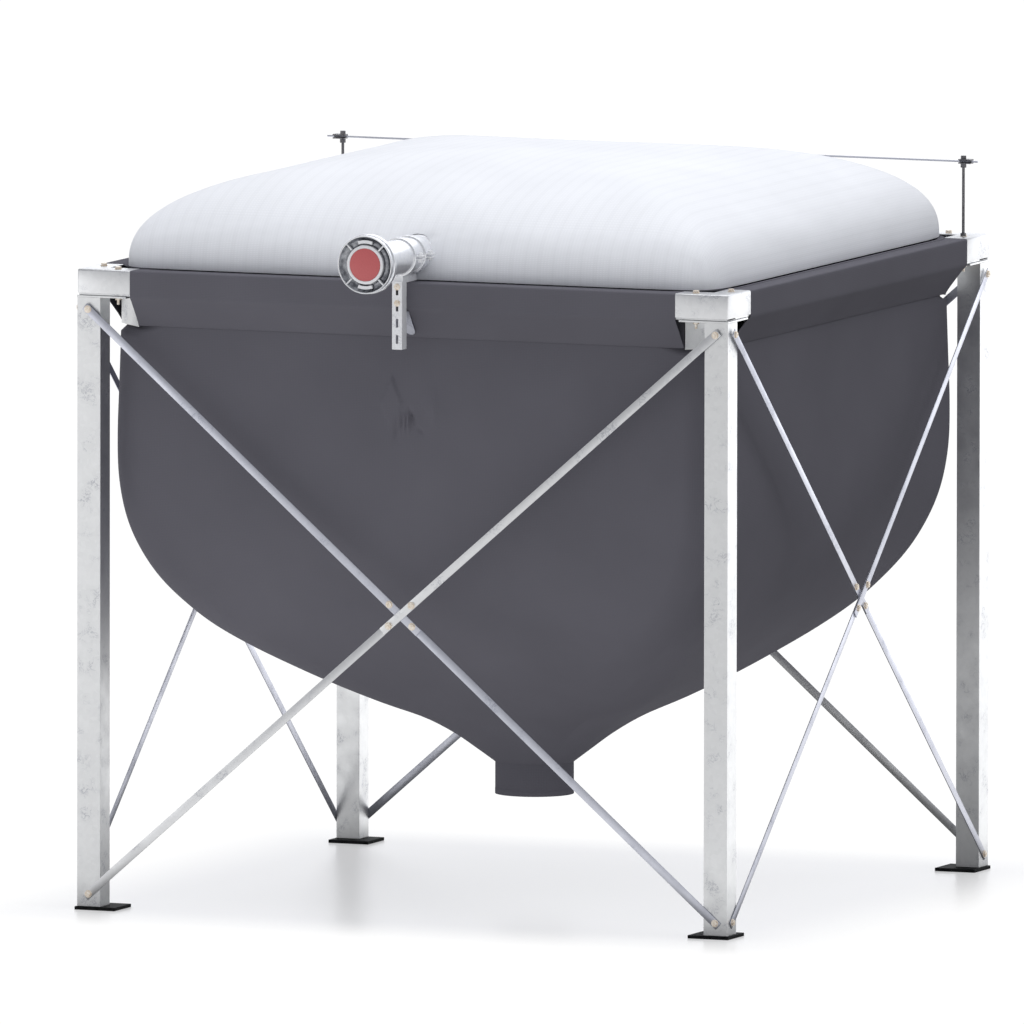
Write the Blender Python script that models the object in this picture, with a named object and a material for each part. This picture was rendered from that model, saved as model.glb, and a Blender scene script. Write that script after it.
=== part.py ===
"""Fabric pellet silo: a square galvanised frame carries a hanging bag with a hopper,
a breathable roof and a filler pipe. Metres, +Z up, front face towards -Y. The origin is
on the ground, under the middle of the whole silo with its filler pipe."""

import math

import bmesh
import bpy
from mathutils import Matrix, Vector

# Frame
FRAME_SIDE = 2.100  # outside of the posts, the same in both directions
CAP_TOP = 1.928  # top of the corner caps above the ground
POST = 0.075
TUBE_WALL = 0.002
GAP = 0.0003  # between pieces that touch
FOOT_PLATE = 0.130
FOOT_OVERHANG = 0.006
FOOT_THICK = 0.010
HEAD_PLATE = 0.158
HEAD_TOP = -0.0785  # heights marked "below the cap top" are negative
HEAD_THICK = 0.006
HEAD_OVERHANG = 0.001
CAP_ARM_X = 0.170
CAP_ARM_Y = 0.181
CAP_THICK = 0.004
CAP_FLANGE = 0.072
GUSSET_REACH = 0.170  # where the corner gusset meets the pockets
GUSSET_SIDE = 0.077
GUSSET_THICK = 0.004
GUSSET_BOTTOM = -0.175
GUSSET_BACK = 0.001  # how far the gusset stays behind the line between those two points

# Braces of flat bar, each made of two halves that lap where they cross
BRACE_WIDTH = 0.025
BRACE_THICK = 0.003
BRACE_INSET = 0.0375
BRACE_TOP = -0.1193
BRACE_FOOT = 0.0485
BRACE_END = 0.014
BRACE_LAP = 0.075
LAP_BOLT = 0.0485
TOP_STAND_OFF = 0.0063
BOLT_RADIUS = 0.0098
BOLT_HEAD = 0.006
SINK = 0.001  # how deep a head or an ear reaches into the piece that it belongs to

# Fabric pocket round each top beam
POCKET_DEPTH = 0.075
POCKET_FRONT = -0.080
POCKET_BACK = -0.175
FABRIC = 0.004

# Bag: half-width of the section at each height below the cap top
BAG_STATIONS = (
    (0.0, 0.9747),
    (-0.175, 0.9747),
    (-0.50, 0.983),
    (-0.72, 0.970),
    (-0.88, 0.922),
    (-1.02, 0.839),
    (-1.16, 0.702),
    (-1.29, 0.515),
    (-1.40, 0.311),
    (-1.50, 0.168),
    (-1.54, 0.1195),
)
BAG_TOP_RADIUS = 0.190
BAG_CORNER_SHARE = 0.108  # corner radius as a share of the half-width
BAG_CORNER_POWER = 1.45
BAG_WIDEST = 0.988  # half-width at which the corners are sharpest
BAG_STEPS = 2  # rows from one station to the next
BAG_CORNER_ROWS = (0.001, 0.025, 0.050)  # below the gussets, where the corners get sharper
BAG_FLARE = 0.02  # widening on those rows for each unit of height
BAG_THICKEST = 0.013  # horizontal thickness of the fabric where the hopper is flattest
SEAM_SHIFT = 0.36 * GAP  # keeps each panel half a gap away from the seam's diagonal
SPOUT_RADIUS = 0.1195
SPOUT_BOTTOM = -1.637

# Roof: a pillow over the rounded square of the bag's top
ROOF_HEIGHT = 0.297
ROOF_HALF = 0.9747
ROOF_FULLNESS = 2.75  # 2 is a round dome, a higher power is flatter with steeper sides
ROOF_SHARES = (1.0, 0.998, 0.992, 0.975, 0.945, 0.90, 0.83, 0.73, 0.60, 0.42, 0.22)
ROOF_SIDE_POINTS = (-0.4, 0, 0.4)
ROOF_CORNER_STEP = 15  # degrees

# Filler pipe, on the middle of the front beam
PIPE_HEIGHT = 0.080
PIPE_RADIUS = 0.054
PIPE_WALL = 0.002
PIPE_INNER_END = 0.240
NOZZLE_REACH = 0.300
COUPLING_RADIUS = 0.090
CAP_DEPTH = 0.022
COUPLING_DEPTH = 0.028
COUPLING_CONE = 0.012
COUPLING_STEP = 0.006
EDGE = 0.002  # set-back at the turned edges
CAP_RIM = 0.007
CAP_DISH = 0.014  # depth of the dish between the rim and the hub
DISH_FLOOR = 0.014
HUB_FOOT = 0.008  # how far the hub stands out round the disc
HUB_TOP = 0.004
DISC_RADIUS = 0.050
DISC_DEPTH = 0.006
CLAMPS = (("front", -0.022), ("rear", 0.056))
CLAMP_WIDTH = 0.034
CLAMP_THICK = 0.004
EAR_REACH = 0.022
EAR_WIDTH = 0.022
EAR_HEIGHT = 0.014
SADDLE_WIDTH = 0.036
SADDLE_THICK = 0.005
SADDLE_REAR = 0.0745
SADDLE_BLOCK = (-0.034, 0.070)
STRUT_WIDTH = 0.032
STRUT_DEPTH = 0.036
STRUT_WALL = 0.003
STRUT_BOTTOM = -0.199
STRUT_SLOTS = (-0.023, -0.0715, -0.120, -0.1685)
SLOT_SIZE = (0.008, 0.026)
TONGUE_WIDTH = 0.031
TONGUE_OFFSET = 0.006
TONGUE_TOP = 0.008  # from the upper edge of the slope
TONGUE_REACH = 0.088
TONGUE_THICK = 0.003

# Rear roof bar, clamped between two short plates on each rod
ROD_RADIUS = 0.0045
ROD_INSET_X = 0.0375
ROD_INSET_Y = 0.120
BAR_HEIGHT = 0.2275
BAR_RADIUS = 0.003
BAR_OVERHANG = 0.011
BAR_SET_FORWARD = 0.004  # from the line between the rods
BAR_PLATE = 0.0035
PLATE_IN = 0.012  # reach of the plates from the rod, towards the middle and away from it
PLATE_OUT = 0.028
PLATE_FRONT = 0.014
PLATE_REAR = 0.012
ROD_NUT = 0.009
NUT_HEIGHT = 0.010
COLLAR_HEIGHT = 0.014

BRACE_PROUD = 2 * GAP + 4 * BRACE_THICK + BOLT_HEAD
SHIFT_Y = (FRAME_SIDE + BRACE_PROUD - NOZZLE_REACH) / 2
HALF = FRAME_SIDE / 2

FACES = {
    "front": ((0, 0), 0),
    "right": ((HALF, HALF), 90),
    "back": ((0, FRAME_SIDE), 180),
    "left": ((-HALF, HALF), 270),
}
CORNERS = {
    "front_left": (-1, -1),
    "front_right": (1, -1),
    "back_left": (-1, 1),
    "back_right": (1, 1),
}
LOOKS = {
    "galvanised": ((0.56, 0.57, 0.59), 0.42, 0.9),
    "foot_steel": ((0.10, 0.10, 0.11), 0.55, 0.6),
    "bag_fabric": ((0.088, 0.086, 0.103), 0.85, 0.0),
    "roof_fabric": ((0.80, 0.83, 0.90), 0.80, 0.0),
    "aluminium": ((0.80, 0.81, 0.84), 0.20, 1.0),
    "red_plastic": ((0.52, 0.10, 0.10), 0.35, 0.0),
    "zinc": ((0.62, 0.57, 0.50), 0.35, 0.9),
}


def clear_scene():
    for obj in list(bpy.data.objects):
        bpy.data.objects.remove(obj, do_unlink=True)


def make_material(name, look):
    color, roughness, metallic = LOOKS[look]
    material = bpy.data.materials.new(name + "_" + look)
    material.use_nodes = True
    shader = material.node_tree.nodes["Principled BSDF"]
    shader.inputs["Base Color"].default_value = (*color, 1)
    shader.inputs["Roughness"].default_value = roughness
    shader.inputs["Metallic"].default_value = metallic
    return material


def add_object(name, bm, look=None, location=(0, 0, 0), turn=0, smooth=False):
    """An object of this mesh, parented to the frame's empty. One without a look is a helper."""
    bmesh.ops.recalc_face_normals(bm, faces=bm.faces)
    mesh = bpy.data.meshes.new(name)
    bm.to_mesh(mesh)
    bm.free()
    obj = bpy.data.objects.new(name, mesh)
    bpy.context.scene.collection.objects.link(obj)
    obj.location = location
    obj.rotation_euler = (0, 0, math.radians(turn))
    obj.parent = bpy.data.objects["silo"]
    if look:
        mesh.materials.append(make_material(name, look))
    else:
        obj.hide_render = True
        obj.display_type = "WIRE"
    if smooth:
        mesh.shade_smooth()
        mesh.set_sharp_from_angle(angle=math.radians(35))
    return obj


def boolean(obj, tool, operation):
    modifier = obj.modifiers.new(operation.lower(), "BOOLEAN")
    modifier.operation = operation
    modifier.solver = "EXACT"
    modifier.object = tool


def prism(bm, outline, low, high, place=lambda p, w: (p[0], p[1], w)):
    """A closed prism: place(point, height) sets where each outline point goes."""
    ends = [[bm.verts.new(place(p, w)) for p in outline] for w in (low, high)]
    bm.faces.new(ends[0])
    bm.faces.new(ends[1])
    for i in range(len(outline)):
        j = (i + 1) % len(outline)
        bm.faces.new((ends[0][i], ends[0][j], ends[1][j], ends[1][i]))
    return ends


def tube_ring(bm, outer, inner, low, high, place=lambda p, w: (p[0], p[1], w)):
    """A closed tube with flat ends, between an outer and an inner outline."""
    rows = [
        [bm.verts.new(place(p, w)) for p in line]
        for line, w in ((outer, low), (outer, high), (inner, high), (inner, low))
    ]
    count = len(outer)
    for row, following in zip(rows, rows[1:] + rows[:1]):
        for i in range(count):
            j = (i + 1) % count
            bm.faces.new((row[i], row[j], following[j], following[i]))


def box(bm, x, y, z):
    outline = ((x[0], y[0]), (x[1], y[0]), (x[1], y[1]), (x[0], y[1]))
    prism(bm, outline, z[0], z[1])


def circle(radius, count, start=0.0):
    return [
        (
            radius * math.cos(start + math.tau * i / count),
            radius * math.sin(start + math.tau * i / count),
        )
        for i in range(count)
    ]


def lathe(profile, count):
    """A solid turned about Z from (radius, height) points that start and end on the axis."""
    bm = bmesh.new()
    verts = [bm.verts.new((r, 0, z)) for r, z in profile]
    edges = [bm.edges.new(pair) for pair in zip(verts, verts[1:])]
    bmesh.ops.spin(
        bm,
        geom=verts + edges,
        cent=(0, 0, 0),
        axis=(0, 0, 1),
        angle=math.tau,
        steps=count,
        use_merge=True,
    )
    bmesh.ops.remove_doubles(bm, verts=bm.verts, dist=1e-6)
    return bm


def along_y(bm):
    """Turns a piece made about Z so that its +Z end points to the front."""
    bmesh.ops.rotate(
        bm, verts=bm.verts, cent=(0, 0, 0), matrix=Matrix.Rotation(math.pi / 2, 3, "X")
    )
    return bm


def to_corner(bm, side_x, side_y):
    """Moves a piece from corner distances (inward X, inward Y) to its own corner."""
    for vert in bm.verts:
        u, v, z = vert.co
        vert.co = (side_x * (HALF - u), v if side_y < 0 else FRAME_SIDE - v, z)


def make_posts():
    """Each post is welded to its head plate, and the gusset is welded under that plate."""
    for corner, sides in CORNERS.items():
        plate_top = CAP_TOP + HEAD_TOP
        plate_low = plate_top - HEAD_THICK
        weld = HEAD_THICK / 3
        bm = bmesh.new()
        outer = ((0, 0), (POST, 0), (POST, POST), (0, POST))
        near, far = TUBE_WALL, POST - TUBE_WALL
        inner = ((near, near), (far, near), (far, far), (near, far))
        tube_ring(bm, outer, inner, FOOT_THICK + GAP, plate_low + weld)
        to_corner(bm, *sides)
        post = add_object("post_" + corner, bm, "galvanised")

        # The head plate's inner corner is cut off along the gusset
        bm = bmesh.new()
        cut = GUSSET_REACH + GUSSET_SIDE - HEAD_PLATE
        edge = -HEAD_OVERHANG
        outline = (
            (edge, edge),
            (HEAD_PLATE, edge),
            (HEAD_PLATE, cut),
            (cut, HEAD_PLATE),
            (edge, HEAD_PLATE),
        )
        prism(bm, outline, plate_low, plate_top)
        to_corner(bm, *sides)
        boolean(post, add_object("head_plate_" + corner, bm), "UNION")

        # The gusset stands at 45 degrees and guides the corner of the bag
        a = Vector((GUSSET_REACH, GUSSET_SIDE))
        b = Vector((GUSSET_SIDE, GUSSET_REACH))
        outward = Vector((-1, -1)).normalized()
        near = outward * GUSSET_BACK
        far = near + outward * GUSSET_THICK
        bm = bmesh.new()
        outline = (a + near, b + near, b + far, a + far)
        prism(bm, outline, CAP_TOP + GUSSET_BOTTOM, plate_low + weld)
        to_corner(bm, *sides)
        boolean(post, add_object("gusset_" + corner, bm), "UNION")

        bm = bmesh.new()
        reach = (-FOOT_OVERHANG, FOOT_PLATE - FOOT_OVERHANG)
        box(bm, reach, reach, (0, FOOT_THICK))
        to_corner(bm, *sides)
        add_object("foot_plate_" + corner, bm, "foot_steel")


def make_corner_caps():
    for corner, sides in CORNERS.items():
        outline = (
            (0, 0),
            (CAP_ARM_X, 0),
            (CAP_ARM_X, POST),
            (POST, POST),
            (POST, CAP_ARM_Y),
            (0, CAP_ARM_Y),
        )
        bm = bmesh.new()
        prism(bm, outline, CAP_TOP - CAP_FLANGE, CAP_TOP)
        to_corner(bm, *sides)
        cap = add_object("corner_cap_" + corner, bm, "galvanised")
        bm = bmesh.new()
        inside = (CAP_THICK, CAP_ARM_Y + POST)
        box(bm, inside, inside, (CAP_TOP - 2 * CAP_FLANGE, CAP_TOP - CAP_THICK))
        to_corner(bm, *sides)
        boolean(cap, add_object("cut_cap_" + corner, bm), "DIFFERENCE")


def make_beams_and_pockets():
    for face, ((x, y), turn) in FACES.items():
        along_front = face in ("front", "back")
        arm = CAP_ARM_X if along_front else CAP_ARM_Y
        near = CAP_THICK + GAP
        far = POCKET_DEPTH - FABRIC - GAP
        half = HALF - near if along_front else HALF - far - GAP
        top = CAP_TOP - CAP_THICK - GAP
        low = CAP_TOP + HEAD_TOP + GAP
        outer = ((near, low), (far, low), (far, top), (near, top))
        inner = (
            (near + TUBE_WALL, low + TUBE_WALL),
            (far - TUBE_WALL, low + TUBE_WALL),
            (far - TUBE_WALL, top - TUBE_WALL),
            (near + TUBE_WALL, top - TUBE_WALL),
        )
        bm = bmesh.new()
        tube_ring(bm, outer, inner, -half, half, lambda p, w: (w, p[0], p[1]))
        add_object("top_beam_" + face, bm, "galvanised", (x, y, 0), turn)

        z = CAP_TOP
        outer = (
            (0, z),
            (0, z + POCKET_FRONT),
            (POCKET_DEPTH, z + POCKET_BACK),
            (POCKET_DEPTH, z),
        )
        inner = (
            (FABRIC, z - FABRIC),
            (FABRIC, z + HEAD_TOP),
            (POCKET_DEPTH - FABRIC, z + POCKET_BACK + 3 * FABRIC),
            (POCKET_DEPTH - FABRIC, z - FABRIC),
        )
        half = HALF - arm - GAP
        bm = bmesh.new()
        tube_ring(bm, outer, inner, -half, half, lambda p, w: (w, p[0], p[1]))
        add_object("beam_pocket_" + face, bm, "bag_fabric", (x, y, 0), turn)


def brace_profile(length, crossing):
    """Side view of one diagonal as (distance along it, distance out from the posts)."""
    foot = GAP
    head = TOP_STAND_OFF
    t = BRACE_THICK
    mid = length / 2
    return (
        (-BRACE_END, foot),
        (BRACE_END, foot),
        (mid - BRACE_LAP, crossing),
        (mid + BRACE_LAP, crossing),
        (mid + BRACE_LAP, crossing + t),
        (length - BRACE_END, head),
        (length + BRACE_END, head),
        (length + BRACE_END, head + t),
        (length - BRACE_END, head + t),
        (mid + BRACE_LAP, crossing + 2 * t),
        (mid - BRACE_LAP, crossing + 2 * t),
        (mid - BRACE_LAP, crossing + t),
        (BRACE_END, foot + t),
        (-BRACE_END, foot + t),
    )


def make_braces():
    run = FRAME_SIDE - 2 * BRACE_INSET
    rise = CAP_TOP + BRACE_TOP - BRACE_FOOT
    length = math.hypot(run, rise)
    for face, ((x, y), turn) in FACES.items():
        for lean, side in (("falling", -1), ("rising", 1)):
            # The rising diagonal passes outside the falling one
            crossing = GAP if side < 0 else 2 * GAP + 2 * BRACE_THICK
            direction = Vector((side * run, 0, rise)).normalized()
            across = Vector((-direction.z, 0, direction.x))
            start = Vector((-side * run / 2, 0, BRACE_FOOT))

            def place(p, w):
                return start + direction * p[0] + across * w + Vector((0, -p[1], 0))

            bm = bmesh.new()
            half = BRACE_WIDTH / 2
            prism(bm, brace_profile(length, crossing), -half, half, place)
            name = "brace_" + face + "_" + lean
            brace = add_object(name, bm, "galvanised", (x, y, 0), turn)

            # Bolt heads at the ends and on both sides of the crossing
            lap_top = crossing + 2 * BRACE_THICK
            bolts = (
                (0, GAP + SINK, GAP + BRACE_THICK + BOLT_HEAD),
                (length / 2 - LAP_BOLT, lap_top - SINK, lap_top + BOLT_HEAD),
                (length / 2 + LAP_BOLT, lap_top - SINK, lap_top + BOLT_HEAD),
                (length, GAP, TOP_STAND_OFF + BRACE_THICK + BOLT_HEAD),
            )
            bm = bmesh.new()
            for along, low, high in bolts:
                outline = [(along + a, b) for a, b in circle(BOLT_RADIUS, 6)]

                def place_bolt(p, w):
                    return start + direction * p[0] + across * p[1] + Vector((0, -w, 0))

                prism(bm, outline, low, high, place_bolt)
            tool = add_object("bolts_" + name, bm, None, (x, y, 0), turn)
            boolean(brace, tool, "UNION")


def smooth_stations(stations, steps):
    """Points of a smooth curve through (height, half-width) stations, top to bottom."""
    count = len(stations)
    slopes = []
    for i in range(count):
        if i in (0, count - 1):
            j = min(i, count - 2)
            slopes.append((stations[j + 1][1] - stations[j][1]) / (stations[j + 1][0] - stations[j][0]))
            continue
        (z0, h0), (z1, h1), (z2, h2) = stations[i - 1 : i + 2]
        a, b = (h1 - h0) / (z1 - z0), (h2 - h1) / (z2 - z1)
        slopes.append(0 if a * b <= 0 else 2 * a * b / (a + b))
    points = []
    for i in range(count - 1):
        (z0, h0), (z1, h1) = stations[i], stations[i + 1]
        for k in range(steps):
            t = k / steps
            d = z1 - z0
            points.append(
                (
                    z0 + d * t,
                    h0 * (1 + 2 * t) * (1 - t) ** 2
                    + h1 * t * t * (3 - 2 * t)
                    + d * slopes[i] * t * (1 - t) ** 2
                    + d * slopes[i + 1] * t * t * (t - 1),
                )
            )
    points.append(stations[-1])
    return points


def corner_radius(z, half):
    """Corner radius of the bag: wide beside the gussets, small on the walls, a circle at the spout."""
    share = min(max((half - SPOUT_RADIUS) / (BAG_WIDEST - SPOUT_RADIUS), 0), 1)
    radius = half * (BAG_CORNER_SHARE + (1 - BAG_CORNER_SHARE) * (1 - share) ** BAG_CORNER_POWER)
    start, end = GUSSET_BOTTOM - BAG_CORNER_ROWS[0], GUSSET_BOTTOM - BAG_CORNER_ROWS[-1]
    t = min(max((z - end) / (start - end), 0), 1)
    return radius + (BAG_TOP_RADIUS - radius) * t * t


def bag_rows():
    rows = smooth_stations(BAG_STATIONS, BAG_STEPS)
    for drop in BAG_CORNER_ROWS:
        rows.append((GUSSET_BOTTOM - drop, BAG_STATIONS[1][1] + drop * BAG_FLARE))
    rows.sort(reverse=True)
    return rows


def panel_line(half, radius, z, segments=4):
    """Plan line of the front panel at one height, from its left seam to its right seam."""
    points = []
    for side, first, last in ((-1, 225, 270), (1, 270, 315)):
        for i in range(segments + 1):
            a = math.radians(first + (last - first) * i / segments)
            centre = half - radius
            points.append((side * centre + radius * math.cos(a), -centre + radius * math.sin(a)))
    for k, sign in ((0, 1), (-1, -1)):
        px, py = points[k]
        points[k] = (px + sign * SEAM_SHIFT, py - SEAM_SHIFT)
    return [(px, py, z) for px, py in points]


def make_bag():
    rows = bag_rows()
    outside = []
    inside = []
    for i, (z, half) in enumerate(rows):
        upper = rows[max(i - 1, 0)]
        lower = rows[min(i + 1, len(rows) - 1)]
        slope = math.atan2(upper[0] - lower[0], upper[1] - lower[1])
        inset = min(FABRIC / math.sin(slope), BAG_THICKEST)
        radius = corner_radius(z, half)
        if i == len(rows) - 1:
            inset = FABRIC
            radius = half
        outside.append(panel_line(half, radius, z))
        inside.append(panel_line(half - inset, radius - inset, z))
    for face, (_, turn) in FACES.items():
        bm = bmesh.new()
        grids = [
            [[bm.verts.new(Vector(p) + Vector((0, 0, CAP_TOP))) for p in line] for line in grid]
            for grid in (outside, inside)
        ]
        rows_count, columns = len(outside), len(outside[0])
        for grid in grids:
            for i in range(rows_count - 1):
                for j in range(columns - 1):
                    bm.faces.new((grid[i][j], grid[i][j + 1], grid[i + 1][j + 1], grid[i + 1][j]))
        for i in (0, rows_count - 1):
            for j in range(columns - 1):
                bm.faces.new((grids[0][i][j], grids[0][i][j + 1], grids[1][i][j + 1], grids[1][i][j]))
        for j in (0, columns - 1):
            for i in range(rows_count - 1):
                bm.faces.new((grids[0][i][j], grids[0][i + 1][j], grids[1][i + 1][j], grids[1][i][j]))
        add_object("bag_panel_" + face, bm, "bag_fabric", (0, HALF, 0), turn, smooth=True)

    bm = bmesh.new()
    outer = circle(SPOUT_RADIUS, 24)
    inner = circle(SPOUT_RADIUS - FABRIC, 24)
    top = CAP_TOP + BAG_STATIONS[-1][0] - GAP
    tube_ring(bm, outer, inner, CAP_TOP + SPOUT_BOTTOM, top)
    add_object("bag_spout", bm, "bag_fabric", (0, HALF, 0), smooth=True)


def roof_ring(half, radius):
    """Rounded square round the middle of the plan, with a few points along each side."""
    ring = []
    for quarter in range(4):
        turn = Matrix.Rotation(math.radians(90 * quarter), 2)
        centre = Vector((radius - half, radius - half))
        for degrees in range(180, 271, ROOF_CORNER_STEP):
            a = math.radians(degrees)
            ring.append(turn @ (centre + radius * Vector((math.cos(a), math.sin(a)))))
        ring += [turn @ Vector((half * k, -half)) for k in ROOF_SIDE_POINTS]
    return ring


def roof_shell(bm, inset):
    """One side of the roof's fabric, as rings that shrink from its edge. Returns the edge."""
    rings = []
    for share in ROOF_SHARES:
        rise = (1 - share**ROOF_FULLNESS) ** (1 / ROOF_FULLNESS)
        z = CAP_TOP + GAP + rise * (ROOF_HEIGHT - inset)
        ring = roof_ring(share * (ROOF_HALF - inset), share * (BAG_TOP_RADIUS - inset))
        rings.append([bm.verts.new((*point, z)) for point in ring])
    for lower, upper in zip(rings, rings[1:]):
        for i in range(len(lower)):
            bm.faces.new((lower[i - 1], lower[i], upper[i], upper[i - 1]))
    crown = bm.verts.new((0, 0, CAP_TOP + GAP + ROOF_HEIGHT - inset))
    for i in range(len(rings[-1])):
        bm.faces.new((rings[-1][i - 1], rings[-1][i], crown))
    return rings[0]


def make_roof():
    bm = bmesh.new()
    outer = roof_shell(bm, 0)
    inner = roof_shell(bm, FABRIC)
    for i in range(len(outer)):
        bm.faces.new((outer[i - 1], outer[i], inner[i], inner[i - 1]))
    roof = add_object("roof", bm, "roof_fabric", (0, HALF, 0), smooth=True)

    # Hole for the filler pipe
    bm = bmesh.new()
    prism(bm, circle(PIPE_RADIUS + GAP, 32), -PIPE_INNER_END, PIPE_RADIUS)
    hole = add_object("cut_roof", along_y(bm), None, (0, 0, CAP_TOP + PIPE_HEIGHT))
    boolean(roof, hole, "DIFFERENCE")


def make_filler():
    axis = (0, 0, CAP_TOP + PIPE_HEIGHT)
    front = NOZZLE_REACH
    pipe_start = front - CAP_DEPTH - GAP - COUPLING_DEPTH - GAP
    bm = bmesh.new()
    tube_ring(
        bm,
        circle(PIPE_RADIUS, 32),
        circle(PIPE_RADIUS - PIPE_WALL, 32),
        -PIPE_INNER_END,
        pipe_start,
        lambda p, w: (p[0], -w, p[1]),
    )
    add_object("filler_pipe", bm, "aluminium", axis, smooth=True)

    # Coupling ring behind the cap, and the cap with its dished front
    bm = bmesh.new()
    back = front - CAP_DEPTH - GAP - COUPLING_DEPTH
    profile = (
        (PIPE_RADIUS - PIPE_WALL, back),
        (PIPE_RADIUS + COUPLING_STEP, back),
        (COUPLING_RADIUS - 2 * EDGE, back + COUPLING_CONE),
        (COUPLING_RADIUS - EDGE, front - CAP_DEPTH - GAP),
        (PIPE_RADIUS - PIPE_WALL, front - CAP_DEPTH - GAP),
    )
    rings = [[bm.verts.new((*p, w)) for p in circle(r, 32)] for r, w in profile]
    for lower, upper in zip(rings, rings[1:] + rings[:1]):
        for i in range(32):
            j = (i + 1) % 32
            bm.faces.new((lower[i], lower[j], upper[j], upper[i]))
    add_object("coupling_ring", along_y(bm), "aluminium", axis, smooth=True)

    profile = (
        (0, front - CAP_DEPTH),
        (COUPLING_RADIUS - EDGE, front - CAP_DEPTH),
        (COUPLING_RADIUS, front - CAP_DEPTH + 2 * EDGE),
        (COUPLING_RADIUS - EDGE, front - EDGE),
        (COUPLING_RADIUS - CAP_RIM, front - EDGE),
        (DISC_RADIUS + HUB_FOOT + DISH_FLOOR, front - CAP_DISH),
        (DISC_RADIUS + HUB_FOOT, front - CAP_DISH),
        (DISC_RADIUS + HUB_TOP, front - EDGE / 2),
        (DISC_RADIUS + GAP, front - EDGE / 2),
        (DISC_RADIUS + GAP, front - DISC_DEPTH),
        (0, front - DISC_DEPTH),
    )
    add_object("coupling_cap", along_y(lathe(profile, 40)), "aluminium", axis, smooth=True)
    back = front - DISC_DEPTH + GAP
    profile = ((0, back), (DISC_RADIUS, back), (DISC_RADIUS, front), (0, front))
    add_object("cap_disc", along_y(lathe(profile, 40)), "red_plastic", axis, smooth=True)


def make_pipe_support():
    # Two split clamps with a bolted ear on the right, the rear one stands on the saddle too
    for name, where in CLAMPS:
        bm = bmesh.new()
        half = CLAMP_WIDTH / 2
        inner = PIPE_RADIUS + GAP
        tube_ring(
            bm,
            circle(inner + CLAMP_THICK, 32),
            circle(inner, 32),
            -half,
            half,
            lambda p, w: (p[0], w, p[1]),
        )
        clamp = add_object(
            "pipe_clamp_" + name, bm, "aluminium", (0, where, CAP_TOP + PIPE_HEIGHT), smooth=True
        )
        bm = bmesh.new()
        reach_y, reach_z = EAR_WIDTH / 2, EAR_HEIGHT / 2
        box(bm, (inner + SINK, inner + EAR_REACH), (-reach_y, reach_y), (-reach_z, reach_z))
        tool = add_object("ear_" + name, bm, None, (0, where, CAP_TOP + PIPE_HEIGHT))
        boolean(clamp, tool, "UNION")

    # Saddle plate on the pocket, with a block that carries both clamps
    low = CAP_TOP + GAP
    step = low + SADDLE_THICK
    top = CAP_TOP + PIPE_HEIGHT - PIPE_RADIUS - CLAMP_THICK - 2 * GAP
    front = -STRUT_DEPTH - SADDLE_THICK
    bm = bmesh.new()
    profile = (
        (front, low),
        (SADDLE_REAR, low),
        (SADDLE_REAR, step),
        (SADDLE_BLOCK[1], step),
        (SADDLE_BLOCK[1], top),
        (SADDLE_BLOCK[0], top),
        (SADDLE_BLOCK[0], step),
        (front, step),
    )
    half = SADDLE_WIDTH / 2
    prism(bm, profile, -half, half, lambda p, w: (w, p[0], p[1]))
    add_object("pipe_saddle", bm, "galvanised")

    # Slotted strut that hangs in front of the beam
    w, d, t = STRUT_WIDTH / 2, STRUT_DEPTH, STRUT_WALL
    y0 = -GAP
    outline = (
        (-w, y0 - d),
        (w, y0 - d),
        (w, y0),
        (w - t, y0),
        (w - t, y0 - d + t),
        (t - w, y0 - d + t),
        (t - w, y0),
        (-w, y0),
    )
    bm = bmesh.new()
    prism(bm, outline, CAP_TOP + STRUT_BOTTOM, CAP_TOP - GAP)
    strut = add_object("slotted_strut", bm, "galvanised")
    bm = bmesh.new()
    for height in STRUT_SLOTS:
        sx, sz = SLOT_SIZE[0] / 2, SLOT_SIZE[1] / 2
        z = CAP_TOP + height
        box(bm, (-sx, sx), (y0 - d - t, y0 - d + 2 * t), (z - sz, z + sz))
    boolean(strut, add_object("cut_strut", bm), "DIFFERENCE")

    # Round-ended tongue that lies on the sloping side of the pocket
    slope = Vector((0, POCKET_DEPTH, POCKET_BACK - POCKET_FRONT))
    down = slope.normalized()
    out = Vector((0, down.z, -down.y))
    half = TONGUE_WIDTH / 2
    outline = [(-half, TONGUE_TOP), (half, TONGUE_TOP)]
    outline += [(px, TONGUE_REACH + abs(py)) for px, py in circle(half, 18)[:10]]
    origin = Vector((TONGUE_OFFSET, 0, CAP_TOP + POCKET_FRONT))

    def place(p, w):
        return origin + Vector((p[0], 0, 0)) + down * p[1] + out * w

    bm = bmesh.new()
    prism(bm, outline, GAP, GAP + TONGUE_THICK, place)
    add_object("strut_tongue", bm, "galvanised")


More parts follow.
